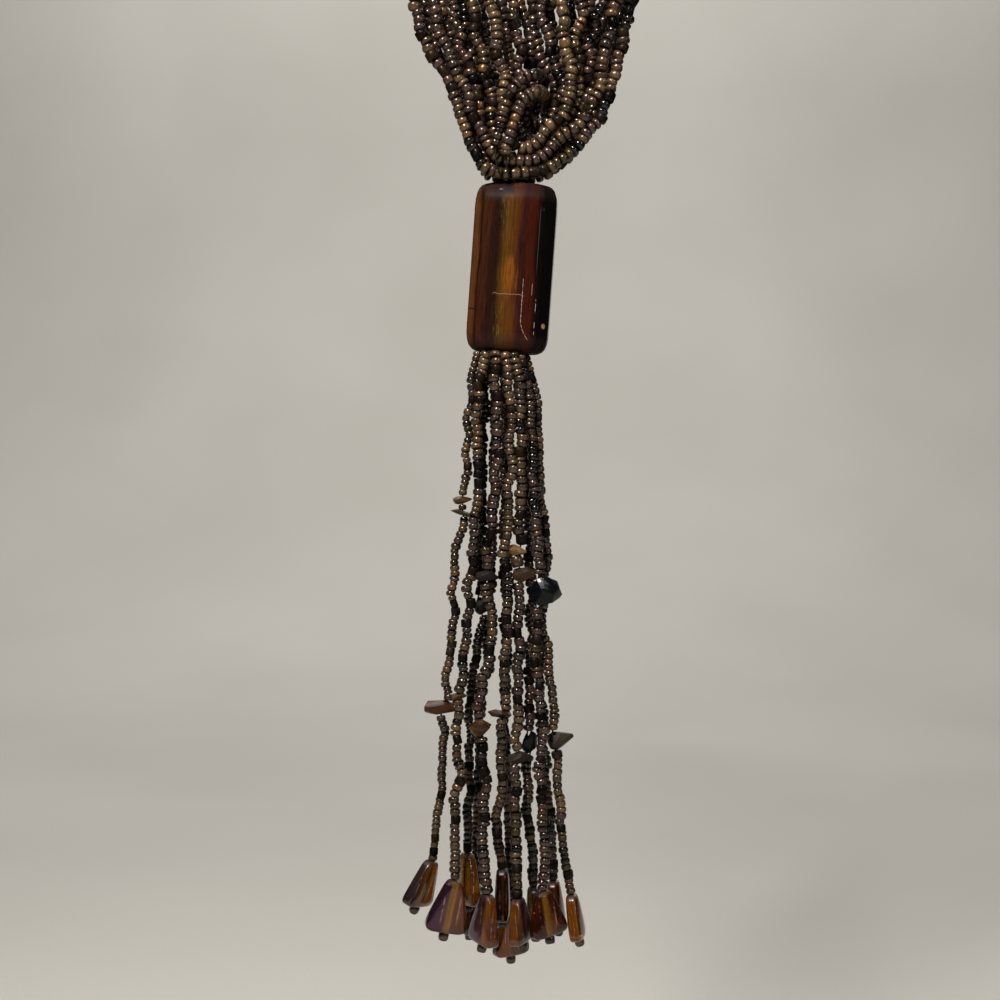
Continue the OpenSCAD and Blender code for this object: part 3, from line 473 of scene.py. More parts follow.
def edit(piece, kind="VERT"):
    """Edit mode with the whole piece selected."""
    take(piece)
    bpy.ops.object.mode_set(mode="EDIT")
    bpy.ops.mesh.select_mode(type=kind)
    bpy.ops.mesh.select_all(action="SELECT")


def leave():
    bpy.ops.object.mode_set(mode="OBJECT")


def pick(piece, kind, test):
    """Edit mode with only those vertices, edges or faces that pass a test."""
    edit(piece, kind)
    bpy.ops.mesh.select_all(action="DESELECT")
    leave()
    mesh = piece.data
    items = {"VERT": mesh.vertices, "EDGE": mesh.edges, "FACE": mesh.polygons}[kind]
    for item in items:
        item.select = bool(test(mesh, item))
    bpy.ops.object.mode_set(mode="EDIT")


def spots_of(piece):
    return np.array([v.co[:] for v in piece.data.vertices])


def tidy(piece, near=0.001):
    """Points that near to each other merged, and faces turned outward."""
    edit(piece)
    bpy.ops.mesh.remove_doubles(threshold=near * MM)
    bpy.ops.mesh.normals_make_consistent(inside=False)
    leave()


def modify(piece, kind, **settings):
    """A modifier, set and applied."""
    take(piece)
    mod = piece.modifiers.new(kind.title(), kind)
    for key, value in settings.items():
        setattr(mod, key, value)
    bpy.ops.object.modifier_apply(modifier=mod.name)


def cut(piece, cutter):
    modify(piece, "BOOLEAN", operation="DIFFERENCE", object=cutter, solver="EXACT")
    bpy.data.objects.remove(cutter)


def drill(name, radius, length, at, way, sides):
    """Cutter for a hole of that radius through a place, along a direction."""
    cylinder = bpy.ops.mesh.primitive_cylinder_add
    cutter = added(name, cylinder, vertices=sides, radius=radius * MM, depth=length * MM)
    turn = Vector(way).to_track_quat("Z", "Y").to_matrix().to_4x4()
    cutter.data.transform(Matrix.Translation(Vector(at) * MM) @ turn)
    return cutter


def smooth(piece, angle):
    take(piece)
    bpy.ops.object.shade_smooth_by_angle(angle=radians(angle))


def creases(mesh, least):
    """Keys of the edges at which the surface turns by more than an angle."""
    normals = {}
    for face in mesh.polygons:
        for key in face.edge_keys:
            normals.setdefault(key, []).append(face.normal.copy())
    return {
        key for key, pair in normals.items()
        if len(pair) == 2 and pair[0].angle(pair[1], 0) > radians(least)
    }


def along_depth(mesh, edge):
    """True for an edge that runs from front to back."""
    a, b = (mesh.vertices[i].co for i in edge.vertices)
    return abs(b.y - a.y) > 2 * max(abs(b.x - a.x), abs(b.z - a.z))


def bevel(piece, test, offset, segments):
    """Edges that pass a test bevelled by that many millimetres."""
    pick(piece, "EDGE", test)
    bpy.ops.mesh.bevel(
        offset=offset * MM, segments=segments, profile=0.5, affect="EDGES", clamp_overlap=True,
    )
    leave()


def finish_piece(piece, slot, material, *nodes):
    """Material, body and the solids that the piece stands for; the slot is not used."""
    piece.data.materials.clear()
    piece.data.materials.append(material)
    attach(piece, "root")
    if nodes:
        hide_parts(*nodes)
    clear()


# Seed beads and thread.


# Half sections of the turned beads: share of the radius, share of half the
# length. The first and last stand at the rim of the hole.
SECTIONS = {
    "round": [(0.26, -0.70), (0.76, -1.00), (1.00, -0.52), (1.00, 0.52), (0.76, 1.00), (0.26, 0.70)],
    "ring": [(0.40, -0.60), (0.76, -1.00), (1.00, -0.40), (1.00, 0.40), (0.76, 1.00), (0.40, 0.60)],
    "tube": [(0.36, -0.94), (0.84, -1.00), (1.00, -0.80), (1.00, 0.80), (0.84, 1.00), (0.36, 0.94)],
    "cut": [(0.34, -0.90), (0.80, -1.00), (1.02, -0.62), (1.02, 0.62), (0.80, 1.00), (0.34, 0.90)],
    "plain": [(0.28, -0.80), (0.78, -1.00), (1.03, 0.00), (0.78, 1.00), (0.28, 0.80)],
}
BEAD_SIDES = {"round": 12, "ring": 12, "tube": 12, "cut": 7, "plain": 10}


def turned_bead(kind):
    """Bead turned round its hole, one unit in radius and in half length."""
    section = SECTIONS[kind]
    circle = bpy.ops.mesh.primitive_circle_add
    bead = added("bead_" + kind, circle, vertices=len(section), radius=1, fill_type="NOTHING")
    for vertex, (out, up) in zip(bead.data.vertices, section):
        vertex.co = (out, 0, up)
    edit(bead)
    bpy.ops.mesh.spin(steps=BEAD_SIDES[kind], angle=tau, center=(0, 0, 0), axis=(0, 0, 1))
    leave()
    tidy(bead, 1)
    spots = spots_of(bead)
    faces = np.array([f.vertices[:] for f in bead.data.polygons])
    bpy.data.objects.remove(bead)
    return spots, faces


def turn_to(way, tilt, spin):
    """Rotation that sets a bead's hole along a way, tilted a little and spun about itself."""
    turn = Vector(way).to_track_quat("Z", "Y").to_matrix()
    lean = Matrix.Rotation(tilt[0], 3, "X") @ Matrix.Rotation(tilt[1], 3, "Y")
    return np.array(turn @ lean @ Matrix.Rotation(spin, 3, "Z"))


def loose(point):
    """Share of a string's kinks: full in the V, little where the loops are bunched or hidden."""
    high = point[2] + DROP
    if high > 62:
        return 0.35
    return float(np.interp(high, [0, 8, 16, 30], [0.15, 0.2, 0.42, 0.62]))


def hidden(point):
    """Share of the kinks of the strings behind, which close the gaps between the ones in front."""
    return 0.45 * loose(point)


def by_height(heights, shares):
    """Share that depends on the height of a point above the top of the stone."""
    return lambda point: float(np.interp(point[2] + DROP, heights, shares))


# The foot of a loop.
low_part = by_height([10, 18], [1, 0])
# Where the inner loops part above the hangers.
open_part = by_height([16, 23, 44, 64], [0, 1, 1, 0])
# Low in the V, where the bundle is dense; the photo shows gaps higher up.
dense = by_height([28, 40], [1, 0])
# Kinks of a tassel string: none where it leaves the stone or nears its drop.
swing = by_height([-165, -150, -50, -44], [0, 0.42, 0.38, 0])


def seen(point):
    """True for the part of a string near the front of the chest and below."""
    return point[2] < -252


def pick_kind(chance, fine):
    if not fine:
        return "plain", 1.0
    share = chance.random()
    if share < 0.60:
        return "round", 1.0
    if share < 0.76:
        return "ring", 0.74
    if share < 0.88:
        return "tube", 1.35
    return "cut", 1.1


TONES = {
    "khaki": [(0.70, 5), (0.80, 3), (0.62, 2), (0.45, 3), (0.30, 2.5), (0.14, 1.5), (0.90, 0.4)],
    "plum": [(0.45, 5), (0.52, 2), (0.30, 2), (0.14, 2), (0.62, 1), (0.70, 1.5)],
    "grey": [(0.30, 4), (0.14, 4), (0.22, 2), (0.45, 2), (0.62, 1.5), (0.70, 1)],
    "tan": [(0.80, 4), (0.88, 2), (0.70, 3), (0.62, 2), (0.30, 1), (0.45, 1)],
}


class Stringing:
    """Beads set one after another along a route, with their own size, tilt and tone."""

    # The least room that takes one more bead, the length on which a bead stands
    # for an odd one, and the usual tilt in degrees.
    SHORTEST = 0.9
    ODD_REACH = 2.2
    TILT = 6
    # A bead out of line: the way its hole faces, its length, and how far it stands out.
    FACING = (0.25, -1, 0.1)
    TURNED_LENGTH = 1.3
    STANDS_OUT = 1.2

    def __init__(self, name, route, width, tint, seed, stout):
        self.name = name
        self.stout = stout
        self.route = route
        self.width = width
        self.tint = tint
        self.chance = random.Random(seed)
        self.tone = None
        self.beads = []
        self.odd = [
            (route.nearest((row[1], -DROP - row[2]), -250), row)
            for row in ODD_BEADS if row[0] == name
        ]

    def next_tone(self):
        """Mostly the last bead's tone again, as strings are made up in runs."""
        if self.tone is None or self.chance.random() < 0.5:
            tones, weights = zip(*TONES[self.tint])
            self.tone = self.chance.choices(tones, weights)[0]
        return min(max(self.tone + self.chance.gauss(0, 0.02), 0), 1)

    def next_bead(self, s):
        """Kind, width, length and tone of the bead that starts there, and if it is out of line."""
        chance = self.chance
        fine = seen(self.route.at(s))
        kind, share = pick_kind(chance, fine)
        wide = self.width * chance.triangular(0.82, 1.16, 1.03)
        wide *= 1 + (self.stout - 1) * dense(self.route.at(s))
        length = self.width * chance.triangular(0.44, 0.80, 0.58) * share
        if not fine:
            length = self.width * 0.84
        tone = self.next_tone()
        turned = False
        for place, odd in self.odd:
            if s <= place < s + self.ODD_REACH:
                wide, length, tone = odd[3:6]
                turned = len(odd) == 7
                kind = "ring" if turned else "round"
        return kind, wide, length, tone, turned

    def fill(self, start, end):
        """Beads from one length to another, stretched a little to fill it exactly."""
        row = []
        s = start
        while s < end - self.SHORTEST:
            row.append(self.next_bead(s))
            s += row[-1][2]
        fit = (end - start) / (s - start)
        s = start
        for kind, wide, length, tone, turned in row:
            length *= fit
            self.set_bead(s + length / 2, kind, wide, length, tone, turned)
            s += length

    def set_bead(self, s, kind, wide, length, tone, turned=False, at=None):
        chance = self.chance
        at = self.route.at(s) if at is None else at
        tilt = (radians(chance.gauss(0, self.TILT)), radians(chance.gauss(0, self.TILT)))
        at = at + np.array([chance.gauss(0, 0.08), chance.gauss(0, 0.05), 0])
        turn = turn_to(self.route.along(s), tilt, chance.uniform(0, tau))
        if turned:
            turn = turn_to(self.FACING, (0, 0), 0)
            at = at + np.array([0, -self.STANDS_OUT, 0])
            length = self.TURNED_LENGTH
        shade = chance.triangular(0.50, 1.25, 0.95)
        self.beads.append((kind, at, turn, wide / 2, length * 0.5 * 0.985, tone, shade))

    def mesh(self, shapes):
        """One mesh of all the beads, with a tone and a shade for each of them."""
        spots, faces, tones, shades, rims = [], [], [], [], []
        count = 0
        for kind, at, turn, half, long, tone, shade in self.beads:
            own, own_faces = shapes[kind]
            placed = (own * (half, half, long)) @ turn.T + at
            spots.append(placed)
            faces.append(own_faces + count)
            tones.append(np.full(len(own), tone))
            shades.append(np.full(len(own), shade))
            # The ends of each bead, which the glaze paints darker as shade where the beads meet.
            rims.append(np.abs(own[:, 2]) > 0.7)
            count += len(own)
        faces = np.concatenate(faces).tolist()
        piece = mesh_of(self.name + "_beads", np.concatenate(spots), faces)
        note(piece, "tone", np.concatenate(tones))
        note(piece, "shade", np.concatenate(shades))
        note(piece, "rim", np.concatenate(rims))
        smooth(piece, 50)
        return piece


def mesh_of(name, spots, faces):
    mesh = bpy.data.meshes.new(name)
    mesh.from_pydata((spots * MM).tolist(), [], faces)
    mesh.validate()
    piece = bpy.data.objects.new(name, mesh)
    bpy.context.scene.collection.objects.link(piece)
    return piece


def note(piece, name, values):
    """A number for each vertex, which the materials read."""
    layer = piece.data.attributes.new(name, "FLOAT", "POINT")
    layer.data.foreach_set("value", np.asarray(values, np.float32))


def bead_string(name, route, spans, width, tint, seed, shapes, paint, stout=1.0):
    string = Stringing(name, route, width, tint, seed, stout)
    tassel = name.startswith("tassel")
    if tassel:
        spans[-1] = (spans[-1][0], spans[-1][1] + INTO_DROP)
    for start, end in spans:
        string.fill(start, end)
    if tassel:
        row = DROPS[DROP_OF[int(name[-2:]) - 1]]
        wide, length, below = TURN_BEAD
        low = drop_place(row, drop_length(row) + below)
        string.set_bead(route.total - 0.7, "round", wide, length, string.next_tone(), at=low)
        for own, down, wide, length in LOOSE_BEADS:
            if own == name:
                string.set_bead(route.depth(down), "round", wide, length, string.next_tone())
    piece = string.mesh(shapes)
    finish_piece(piece, tint + "_beads", paint[tint], name)


def thread_rings(route):
    """Rings of points along a route, as spots and faces of one thin tube."""
    closed = route.closed
    n = max(int(route.total / (LOOP_STEP if closed else TASSEL_STEP)), 8)
    ends = np.linspace(0, route.total, n, endpoint=not closed)
    spots = []
    up = np.array([0.3, 0.8, 0.5])
    for s in ends:
        way = route.along(s)
        side = unit(np.cross(way, up))
        other = np.cross(way, side)
        for k in range(THREAD_SIDES):
            a = tau * k / THREAD_SIDES
            spots.append(route.at(s) + THREAD_RADIUS * (cos(a) * side + sin(a) * other))
    rings = [[i * THREAD_SIDES + k for k in range(THREAD_SIDES)] for i in range(n)]
    faces = []
    for a, b in zip(rings, rings[1:] + rings[:closed]):
        faces += [(a[k - 1], a[k], b[k], b[k - 1]) for k in range(THREAD_SIDES)]
    if not closed:
        faces += [rings[0][::-1], rings[-1]]
    return np.array(spots), faces


def threads(routes, material):
    """The thread inside every string, where it shows between the beads."""
    spots, faces, count = [], [], 0
    for route in routes:
        own, own_faces = thread_rings(route)
        spots.append(own)
        faces += [[v + count for v in face] for face in own_faces]
        count += len(own)
    piece = mesh_of("threads", np.concatenate(spots), faces)
    tidy(piece)
    smooth(piece, 60)
    finish_piece(piece, "thread", material)


# The stone bead.


def stone_place():
    lean = Matrix.Rotation(radians(FOCAL_LEAN), 4, "Y")
    yaw = Matrix.Rotation(radians(FOCAL_YAW), 4, "Z")
    return Matrix.Translation(Vector(FOCAL_AT) * MM) @ lean @ yaw


def stone_section():
    """Corners of the stone's section, clockwise facets from the right edge round."""
    w = FOCAL_WIDTH / 2
    t = FOCAL_THICK / 2
    half = [(w, 0.30 * t), (0.74 * w, 0.80 * t), (0.35 * w, t)]
    top = half + [(-x, y) for x, y in reversed(half)]
    return top + [(-x, -y) for x, y in top]


# Rise, then share of the width and of the thickness, of each step of an end.
END_STEPS = [
    (3.0, 0.990, 0.985), (1.6, 0.975, 0.960), (1.2, 0.955, 0.940),
    (0.8, 0.930, 0.920), (0.45, 0.900, 0.900), (0.2, 0.900, 0.920),
]


def stone_body():
    """The stone before it is drilled: a faceted prism with stepped ends and broken edges."""
    corners = sorted(stone_section(), key=lambda corner: atan2(corner[1], corner[0]) % tau)
    sides = len(corners)
    depth = FOCAL_LENGTH - 2 * sum(step[0] for step in END_STEPS)
    cylinder = bpy.ops.mesh.primitive_cylinder_add
    stone = added("stone_bead", cylinder, vertices=sides, radius=0.01, depth=depth * MM)
    around = sorted(stone.data.vertices, key=lambda v: (v.co.z > 0, atan2(v.co.y, v.co.x) % tau))
    for i, vertex in enumerate(around):
        x, y = corners[i % sides]
        vertex.co.x = x * MM
        vertex.co.y = y * MM
    for side in (1, -1):
        pick(stone, "FACE", lambda mesh, face: face.normal.z * side > 0.9)
        for rise, wide, deep in END_STEPS:
            bpy.ops.mesh.extrude_region_move(
                TRANSFORM_OT_translate={"value": (0, 0, side * rise * MM)}
            )
            bpy.ops.transform.resize(value=(wide, deep, 1), center_override=(0, 0, 0))
        leave()
    reach = 0.4 * depth * MM
    pick(stone, "EDGE", lambda mesh, edge: abs(
        mesh.vertices[edge.vertices[0]].co.z - mesh.vertices[edge.vertices[1]].co.z) > reach)
    bpy.ops.mesh.bevel(offset=0.3 * MM, segments=2, profile=0.6, affect="EDGES")
    leave()
    tidy(stone)
    return stone


def stone_bead(material):
    """The stone drilled along its length, with a wider mouth at its top."""
    stone = stone_body()
    cut(stone, drill("stone_hole", FOCAL_BORE / 2, FOCAL_LENGTH + 6, (0, 0, 0), (0, 0, 1), 40))
    cone = added(
        "stone_mouth", bpy.ops.mesh.primitive_cone_add, vertices=40, depth=MOUTH_DEEP * MM,
        radius1=FOCAL_BORE / 2 * MM, radius2=(FOCAL_BORE / 2 + MOUTH_WIDER) * MM,
        location=(0, 0, FOCAL_LENGTH / 2 * MM),
    )
    bpy.ops.object.transform_apply(location=True, rotation=True, scale=True)
    cut(stone, cone)
    stone.data.transform(stone_place())
    tidy(stone)
    smooth(stone, 24)
    finish_piece(stone, "focal_stone", material, "focal_bead")


# Glass drops.


def fit_drop(drop, wide, deep, long):
    """The softened drop brought back to its width, thickness and length."""
    spots = spots_of(drop) / MM
    low, top = spots.min(axis=0), spots.max(axis=0)
    size = np.array([wide, deep, long]) / (top - low)
    for v in drop.data.vertices:
        v.co = (v.co.x * size[0], v.co.y * size[1], (v.co.z - top[2] * MM) * size[2])


def paddle(name, long, swell):
    """Softened paddle of glass, wide at its foot and thin at its top and at both sides."""
    drop = added(name, bpy.ops.mesh.primitive_cube_add, size=1)
    edit(drop)
    bpy.ops.mesh.subdivide(number_cuts=2)
    leave()
    for v in drop.data.vertices:
        down = 0.5 - v.co.z
        wide = GLASS_TOP + (GLASS_FOOT - GLASS_TOP) * min(down * 1.08, 1)
        deep = GLASS_THICK * (0.78 + 0.22 * min(down * 1.8, 1)) * (1 - 1.5 * v.co.x ** 2)
        v.co = (v.co.x * wide * MM, v.co.y * deep * MM, -down * long * MM)
    sharp = creases(drop.data, 50)
    half = -0.5 * long * MM
    pick(drop, "EDGE", lambda mesh, edge: edge.key in sharp and not along_depth(mesh, edge)
         and all(mesh.vertices[i].co.z < half for i in edge.vertices))
    bpy.ops.transform.edge_crease(value=0.22)
    leave()
    modify(drop, "SUBSURF", levels=2, render_levels=2)
    fit_drop(drop, GLASS_FOOT - 0.15, GLASS_THICK * swell, long)
    tidy(drop)
    return drop


def glass_drop(index, material):
    """A paddle drilled along its length, hung in its place, with the tones of its two sides."""
    row = DROPS[index]
    long = drop_length(row)
    swell = random.Random(500 + index).uniform(0.94, 1.0)
    drop = paddle(f"glass_drop_{index + 1:02d}", long, swell)
    cut(drop, drill("drop_hole", GLASS_BORE / 2, long + 4, (0, 0, -long / 2), (0, 0, 1), 16))
    tidy(drop, 0.01)
    own = spots_of(drop) / MM
    lean = Matrix.Rotation(radians(row[3]), 4, "Y")
    yaw = Matrix.Rotation(radians(row[5]), 4, "Z")
    place = Matrix.Translation(Vector(drop_place(row, 0)) * MM)
    drop.data.transform(place @ lean @ yaw)
    turned = own[:, 0] * cos(radians(row[5])) - own[:, 1] * sin(radians(row[5]))
    note(drop, "across", turned / max(abs(turned)))
    note(drop, "down", -own[:, 2] / long)
    for name, value in zip(("tone_left", "tone_right", "bloom", "core"), row[6:10]):
        note(drop, name, np.full(len(own), value))
    smooth(drop, 45)
    finish_piece(drop, "amber_glass", material, f"drop_{index + 1:02d}")


# Stone chips.


def cut_ball(name, cuts, chance):
    """A ball of stone cut by that many uneven planes, all round it."""
    chip = added(name, bpy.ops.mesh.primitive_ico_sphere_add, subdivisions=3, radius=1.18)
    for k in range(cuts):
        up = (2 * (k + 0.5) / cuts - 1) * 0.92
        around = k * GOLDEN_ANGLE + chance.uniform(-0.5, 0.5)
        flat = (1 - up * up) ** 0.5
        way = Vector((flat * cos(around), flat * sin(around), up + chance.uniform(-0.15, 0.15)))
        way.normalize()
        edit(chip)
        bpy.ops.mesh.bisect(
            plane_co=way * chance.uniform(0.66, 0.88), plane_no=way,
            use_fill=True, clear_outer=True,
        )
        leave()
    tidy(chip, 12)
    return chip


def stone_chip(index, paint):
    """A cut ball brought to its size, its edges just broken, then drilled."""
    x, deep, down, wide, high, thick, lean, hole_x, hole_y, cuts, finish, tone = CHIPS[index]
    name = f"stone_chip_{index + 1:02d}"
    chip = cut_ball(name, cuts, random.Random(900 + 7 * index))
    spots = spots_of(chip)
    low, top = spots.min(axis=0), spots.max(axis=0)
    size = np.array([wide, thick, high]) / (top - low)
    middle = (low + top) / 2
    for v in chip.data.vertices:
        v.co = [(v.co[k] - middle[k]) * size[k] * MM for k in range(3)]
    sharp = creases(chip.data, 24)
    bevel(chip, lambda mesh, edge: edge.key in sharp, 0.10, 2)
    chip.data.transform(Matrix.Rotation(radians(lean), 4, "Y"))
    cut(chip, drill("chip_hole", CHIP_BORE / 2, 14, (hole_x, hole_y, 0), (0, 0, 1), 14))
    chip.data.transform(Matrix.Translation(Vector((x, -CHEST + deep, -DROP - down)) * MM))
    tidy(chip)
    note(chip, "tone", np.full(len(chip.data.vertices), tone))
    smooth(chip, 22)
    finish_piece(chip, finish + "_chip", paint[finish], f"chip_{index + 1:02d}")


# Materials.


class Wire:
    """A socket of a material, so that sums on sockets read as sums."""

    def __init__(self, tree, socket):
        self.tree = tree
        self.socket = socket

    def node(self, kind, settings=None, inputs=None, out=0):
        """Any other node: its kind, its settings, then values or wires for its sockets."""
        made = self.tree.nodes.new(kind)
        for key, value in (settings or {}).items():
            if key == "stops":
                set_stops(made.color_ramp, value)
            else:
                setattr(made, key, value)
        for key, value in (inputs or {}).items():
            if isinstance(value, Wire):
                self.tree.links.new(value.socket, made.inputs[key])
            else:
                made.inputs[key].default_value = value
        return Wire(self.tree, made.outputs[out])

    def math(self, operation, *values):
        settings = {"operation": operation, "use_clamp": False}
        return self.node("ShaderNodeMath", settings, dict(enumerate(values)))

    def __add__(self, other):
        return self.math("ADD", self, other)

    def __radd__(self, other):
        return self.math("ADD", other, self)

    def __sub__(self, other):
        return self.math("SUBTRACT", self, other)

    def __rsub__(self, other):
        return self.math("SUBTRACT", other, self)

    def __mul__(self, other):
        return self.math("MULTIPLY", self, other)

    def __rmul__(self, other):
        return self.math("MULTIPLY", other, self)

    def __truediv__(self, other):
        return self.math("DIVIDE", self, other)

    def __pow__(self, other):
        return self.math("POWER", self, other)

    def clamp(self):
        return self.node("ShaderNodeClamp", None, {"Value": self})

    def band(self, low, high):
        """0 below low, 1 above high, smooth between."""
        settings = {"interpolation_type": "SMOOTHSTEP"}
        inputs = {"Value": self, "From Min": low, "From Max": high}
        return self.node("ShaderNodeMapRange", settings, inputs)

    def between(self, a, b, c, d):
        """1 from b to c, falling to 0 at a and d."""
        return self.band(a, b) * (1 - self.band(c, d))

    def size(self):
        return self.math("ABSOLUTE", self)

    def line(self, at, half):
        """1 on a line, falling to 0 at that distance from it."""
        return 1 - (self - at).size().band(0.3 * half, half)

    def ramp(self, stops):
        return self.node("ShaderNodeValToRGB", {"stops": stops}, {"Fac": self})

    def noise(self, scale, detail=3, rough=0.55, bend=0.0):
        inputs = {
            "Vector": self, "Scale": scale, "Detail": detail,
            "Roughness": rough, "Distortion": bend,
        }
        return self.node("ShaderNodeTexNoise", None, inputs)

    def stretch(self, x, y, z):
        inputs = {"Vector": self, "Scale": (x, y, z)}
        return self.node("ShaderNodeMapping", None, inputs)

    def part(self, axis):
        return self.node("ShaderNodeSeparateXYZ", None, {"Vector": self}, out=axis)

    def bump(self, strength, distance):
        inputs = {"Height": self, "Strength": strength, "Distance": distance}
        return self.node("ShaderNodeBump", None, inputs)


def set_stops(ramp, stops):
    while len(ramp.elements) > 1:
        ramp.elements.remove(ramp.elements[0])
    for i, row in enumerate(stops):
        place, *colour = [value / 1000 for value in row]
        element = ramp.elements[0] if i == 0 else ramp.elements.new(place)
        element.position = place
        element.color = (*colour, 1)


def mix(share, a, b, blend="MIX"):
    """Colours a and b mixed, or b laid on a in another way."""
    wire = next(w for w in (share, a, b) if isinstance(w, Wire))
    values = {0: share, 6: a, 7: b}
    values = {k: (*v, 1) if isinstance(v, tuple) else v for k, v in values.items()}
    settings = {"data_type": "RGBA", "blend_type": blend, "clamp_result": False}
    return wire.node("ShaderNodeMix", settings, values, out=2)


class Paint:
    """A new material with its shader and its usual starting sockets."""

    def __init__(self, name, **constants):
        self.material = bpy.data.materials.new(name)
        self.material.use_nodes = True
        tree = self.material.node_tree
        self.shader = next(n for n in tree.nodes if n.type == "BSDF_PRINCIPLED")
        self.start = Wire(tree, None)
        self.place = self.start.node("ShaderNodeTexCoord", out=3)
        self.mm = self.place.stretch(1000, 1000, 1000)
        for key, value in constants.items():
            self.shader.inputs[key.replace("_", " ")].default_value = value

    def attribute(self, name):
        settings = {"attribute_type": "GEOMETRY", "attribute_name": name}
        return self.start.node("ShaderNodeAttribute", settings, out=2)

    def grey(self, wire):
        """A colour or wire as equal red, green and blue."""
        inputs = {0: wire, 1: wire, 2: wire}
        return self.start.node("ShaderNodeCombineColor", None, inputs)

    def shade(self, colour, wire):
        """A colour made lighter or darker by a number."""
        return mix(1.0, colour, self.grey(wire), "MULTIPLY")

    def put(self, **wires):
        for key, wire in wires.items():
            target = self.shader.inputs[key.replace("_", " ")]
            self.start.tree.links.new(wire.socket, target)
        return self.material


# Stops of colour ramps: place, then red, green and blue, all in thousandths.
BEAD_STOPS = [
    (0, 3, 2, 1), (140, 9, 6, 4), (220, 22, 14, 10), (300, 58, 39, 30), (450, 76, 45, 35),
    (530, 60, 29, 18), (620, 50, 34, 14), (700, 104, 64, 34), (800, 138, 87, 45),
    (900, 160, 100, 48), (1000, 150, 60, 20),
]


def bead_paint(tint, metal, coat):
    """Glazed seed bead: a satin bronze glaze, uneven from bead to bead, with painted shade at its ends
    and painted shade and light by height.
    """
    p = Paint(
        tint + "_glaze", Metallic=metal, Specular_IOR_Level=0.15, IOR=1.5,
        Specular_Tint=(0.62, 0.55, 0.50, 1), Coat_Roughness=0.09, Coat_IOR=1.9,
    )
    cloud = p.mm.noise(0.8, 2)
    fine = p.mm.noise(5.0, 3, 0.6)
    tone = (p.attribute("tone") + (cloud - 0.5) * 0.06).clamp()
    colour = tone.ramp(BEAD_STOPS)
    rim = p.attribute("rim")
    # Painted shade and light by height: darker low on the tassel, lighter up in the V.
    wear_and_painted_shade = 0.80 + p.place.part(2).band(-0.40, -0.31) * 0.33
    # Painted shade: each bead darker at its ends, where it meets the next bead.
    shade = p.attribute("shade") * (0.62 + fine * 0.80) * (1 - rim * 0.86) * wear_and_painted_shade
    colour = p.shade(colour, shade)
    bloom = p.mm.noise(0.35, 1).band(0.56, 0.70) * 0.30
    colour = mix(bloom, colour, (0.050, 0.034, 0.036))
    rough = 0.22 + fine * 0.20 + (cloud - 0.5) * 0.20 + rim * 0.18
    shine = (1 - rim * 0.9) * coat * (0.5 + cloud * 0.5) * (1.5 - p.attribute("shade"))
    return p.put(
        Base_Color=colour, Roughness=rough, Coat_Weight=shine, Normal=fine.bump(0.35, 0.0001),
    )


def thread_paint():
    """Waxed beading thread: dark twisted strands."""
    p = Paint("waxed_thread", Specular_IOR_Level=0.12)
    twist = p.mm.stretch(1.0, 1.0, 0.35).noise(9.0, 2)
    fuzz = p.mm.noise(24.0, 2)
    colour = (twist * 0.6 + fuzz * 0.4).ramp([(300, 6, 5, 4), (620, 26, 19, 14), (800, 50, 38, 27)])
    rough = 0.55 + fuzz * 0.3
    return p.put(Base_Color=colour, Roughness=rough, Normal=twist.bump(0.5, 0.0001))


# Colours across the stone from its left side to its right; near-black at the far right.
FRONT_BANDS = [
    (0, 85, 30, 10), (50, 105, 40, 13), (85, 80, 24, 8), (105, 14, 5, 3), (130, 44, 14, 7),
    (225, 36, 11, 6), (260, 20, 8, 5), (350, 22, 9, 5), (375, 50, 23, 7), (430, 104, 42, 8),
    (540, 92, 31, 6), (590, 65, 18, 7), (620, 36, 10, 8), (670, 30, 8, 6), (700, 50, 10, 4),
    (780, 44, 8, 4), (815, 16, 4, 3), (850, 4, 3, 3), (1000, 4, 3, 3),
]


def oval(x, z, at, size, low, high):
    """1 in an oval mark, falling to 0 round it."""
    return 1 - (((x - at[0]) / size[0]) ** 2 + ((z - at[1]) / size[1]) ** 2).band(low, high)


def stone_space(p):
    """Places in the stone's own axes, in millimetres."""
    turn = stone_place()
    inputs = {
        "Vector": p.place,
        "Location": turn.to_translation(),
        "Rotation": turn.to_euler("XYZ"),
        "Scale": (MM, MM, MM),
    }
    return p.place.node("ShaderNodeMapping", {"vector_type": "TEXTURE"}, inputs)


def painted_edge_glints(own, x, z):
    """Painted highlights: pale lines of reflected light along the edges of the front facets, whole or
    in dashes.
    """
    below = -13 - z
    turned = below.math("MAXIMUM", below, 0) ** 2 * 0.08
    dashes = own.stretch(0.2, 0.2, 0.9).noise(1, 1).band(0.42, 0.52)
    breaks = own.stretch(0.2, 0.2, 1.3).noise(1, 2).band(0.40, 0.58)
    edge = (x - turned).line(3.55, 0.11) * z.between(-18.2, -17.6, -3.6, -2.8)
    edge = edge * (0.2 + breaks * 0.8)
    edge = edge + x.line(5.8, 0.09) * z.between(-7.2, -6.6, -4.4, -3.8) * 0.7
    edge = edge + x.line(6.9, 0.10) * z.between(-17, -16, -8.5, -7.5) * dashes
    edge = edge + x.line(6.6, 0.12) * z.between(-3, 2, 13, 16) * 0.12
    return edge.clamp()


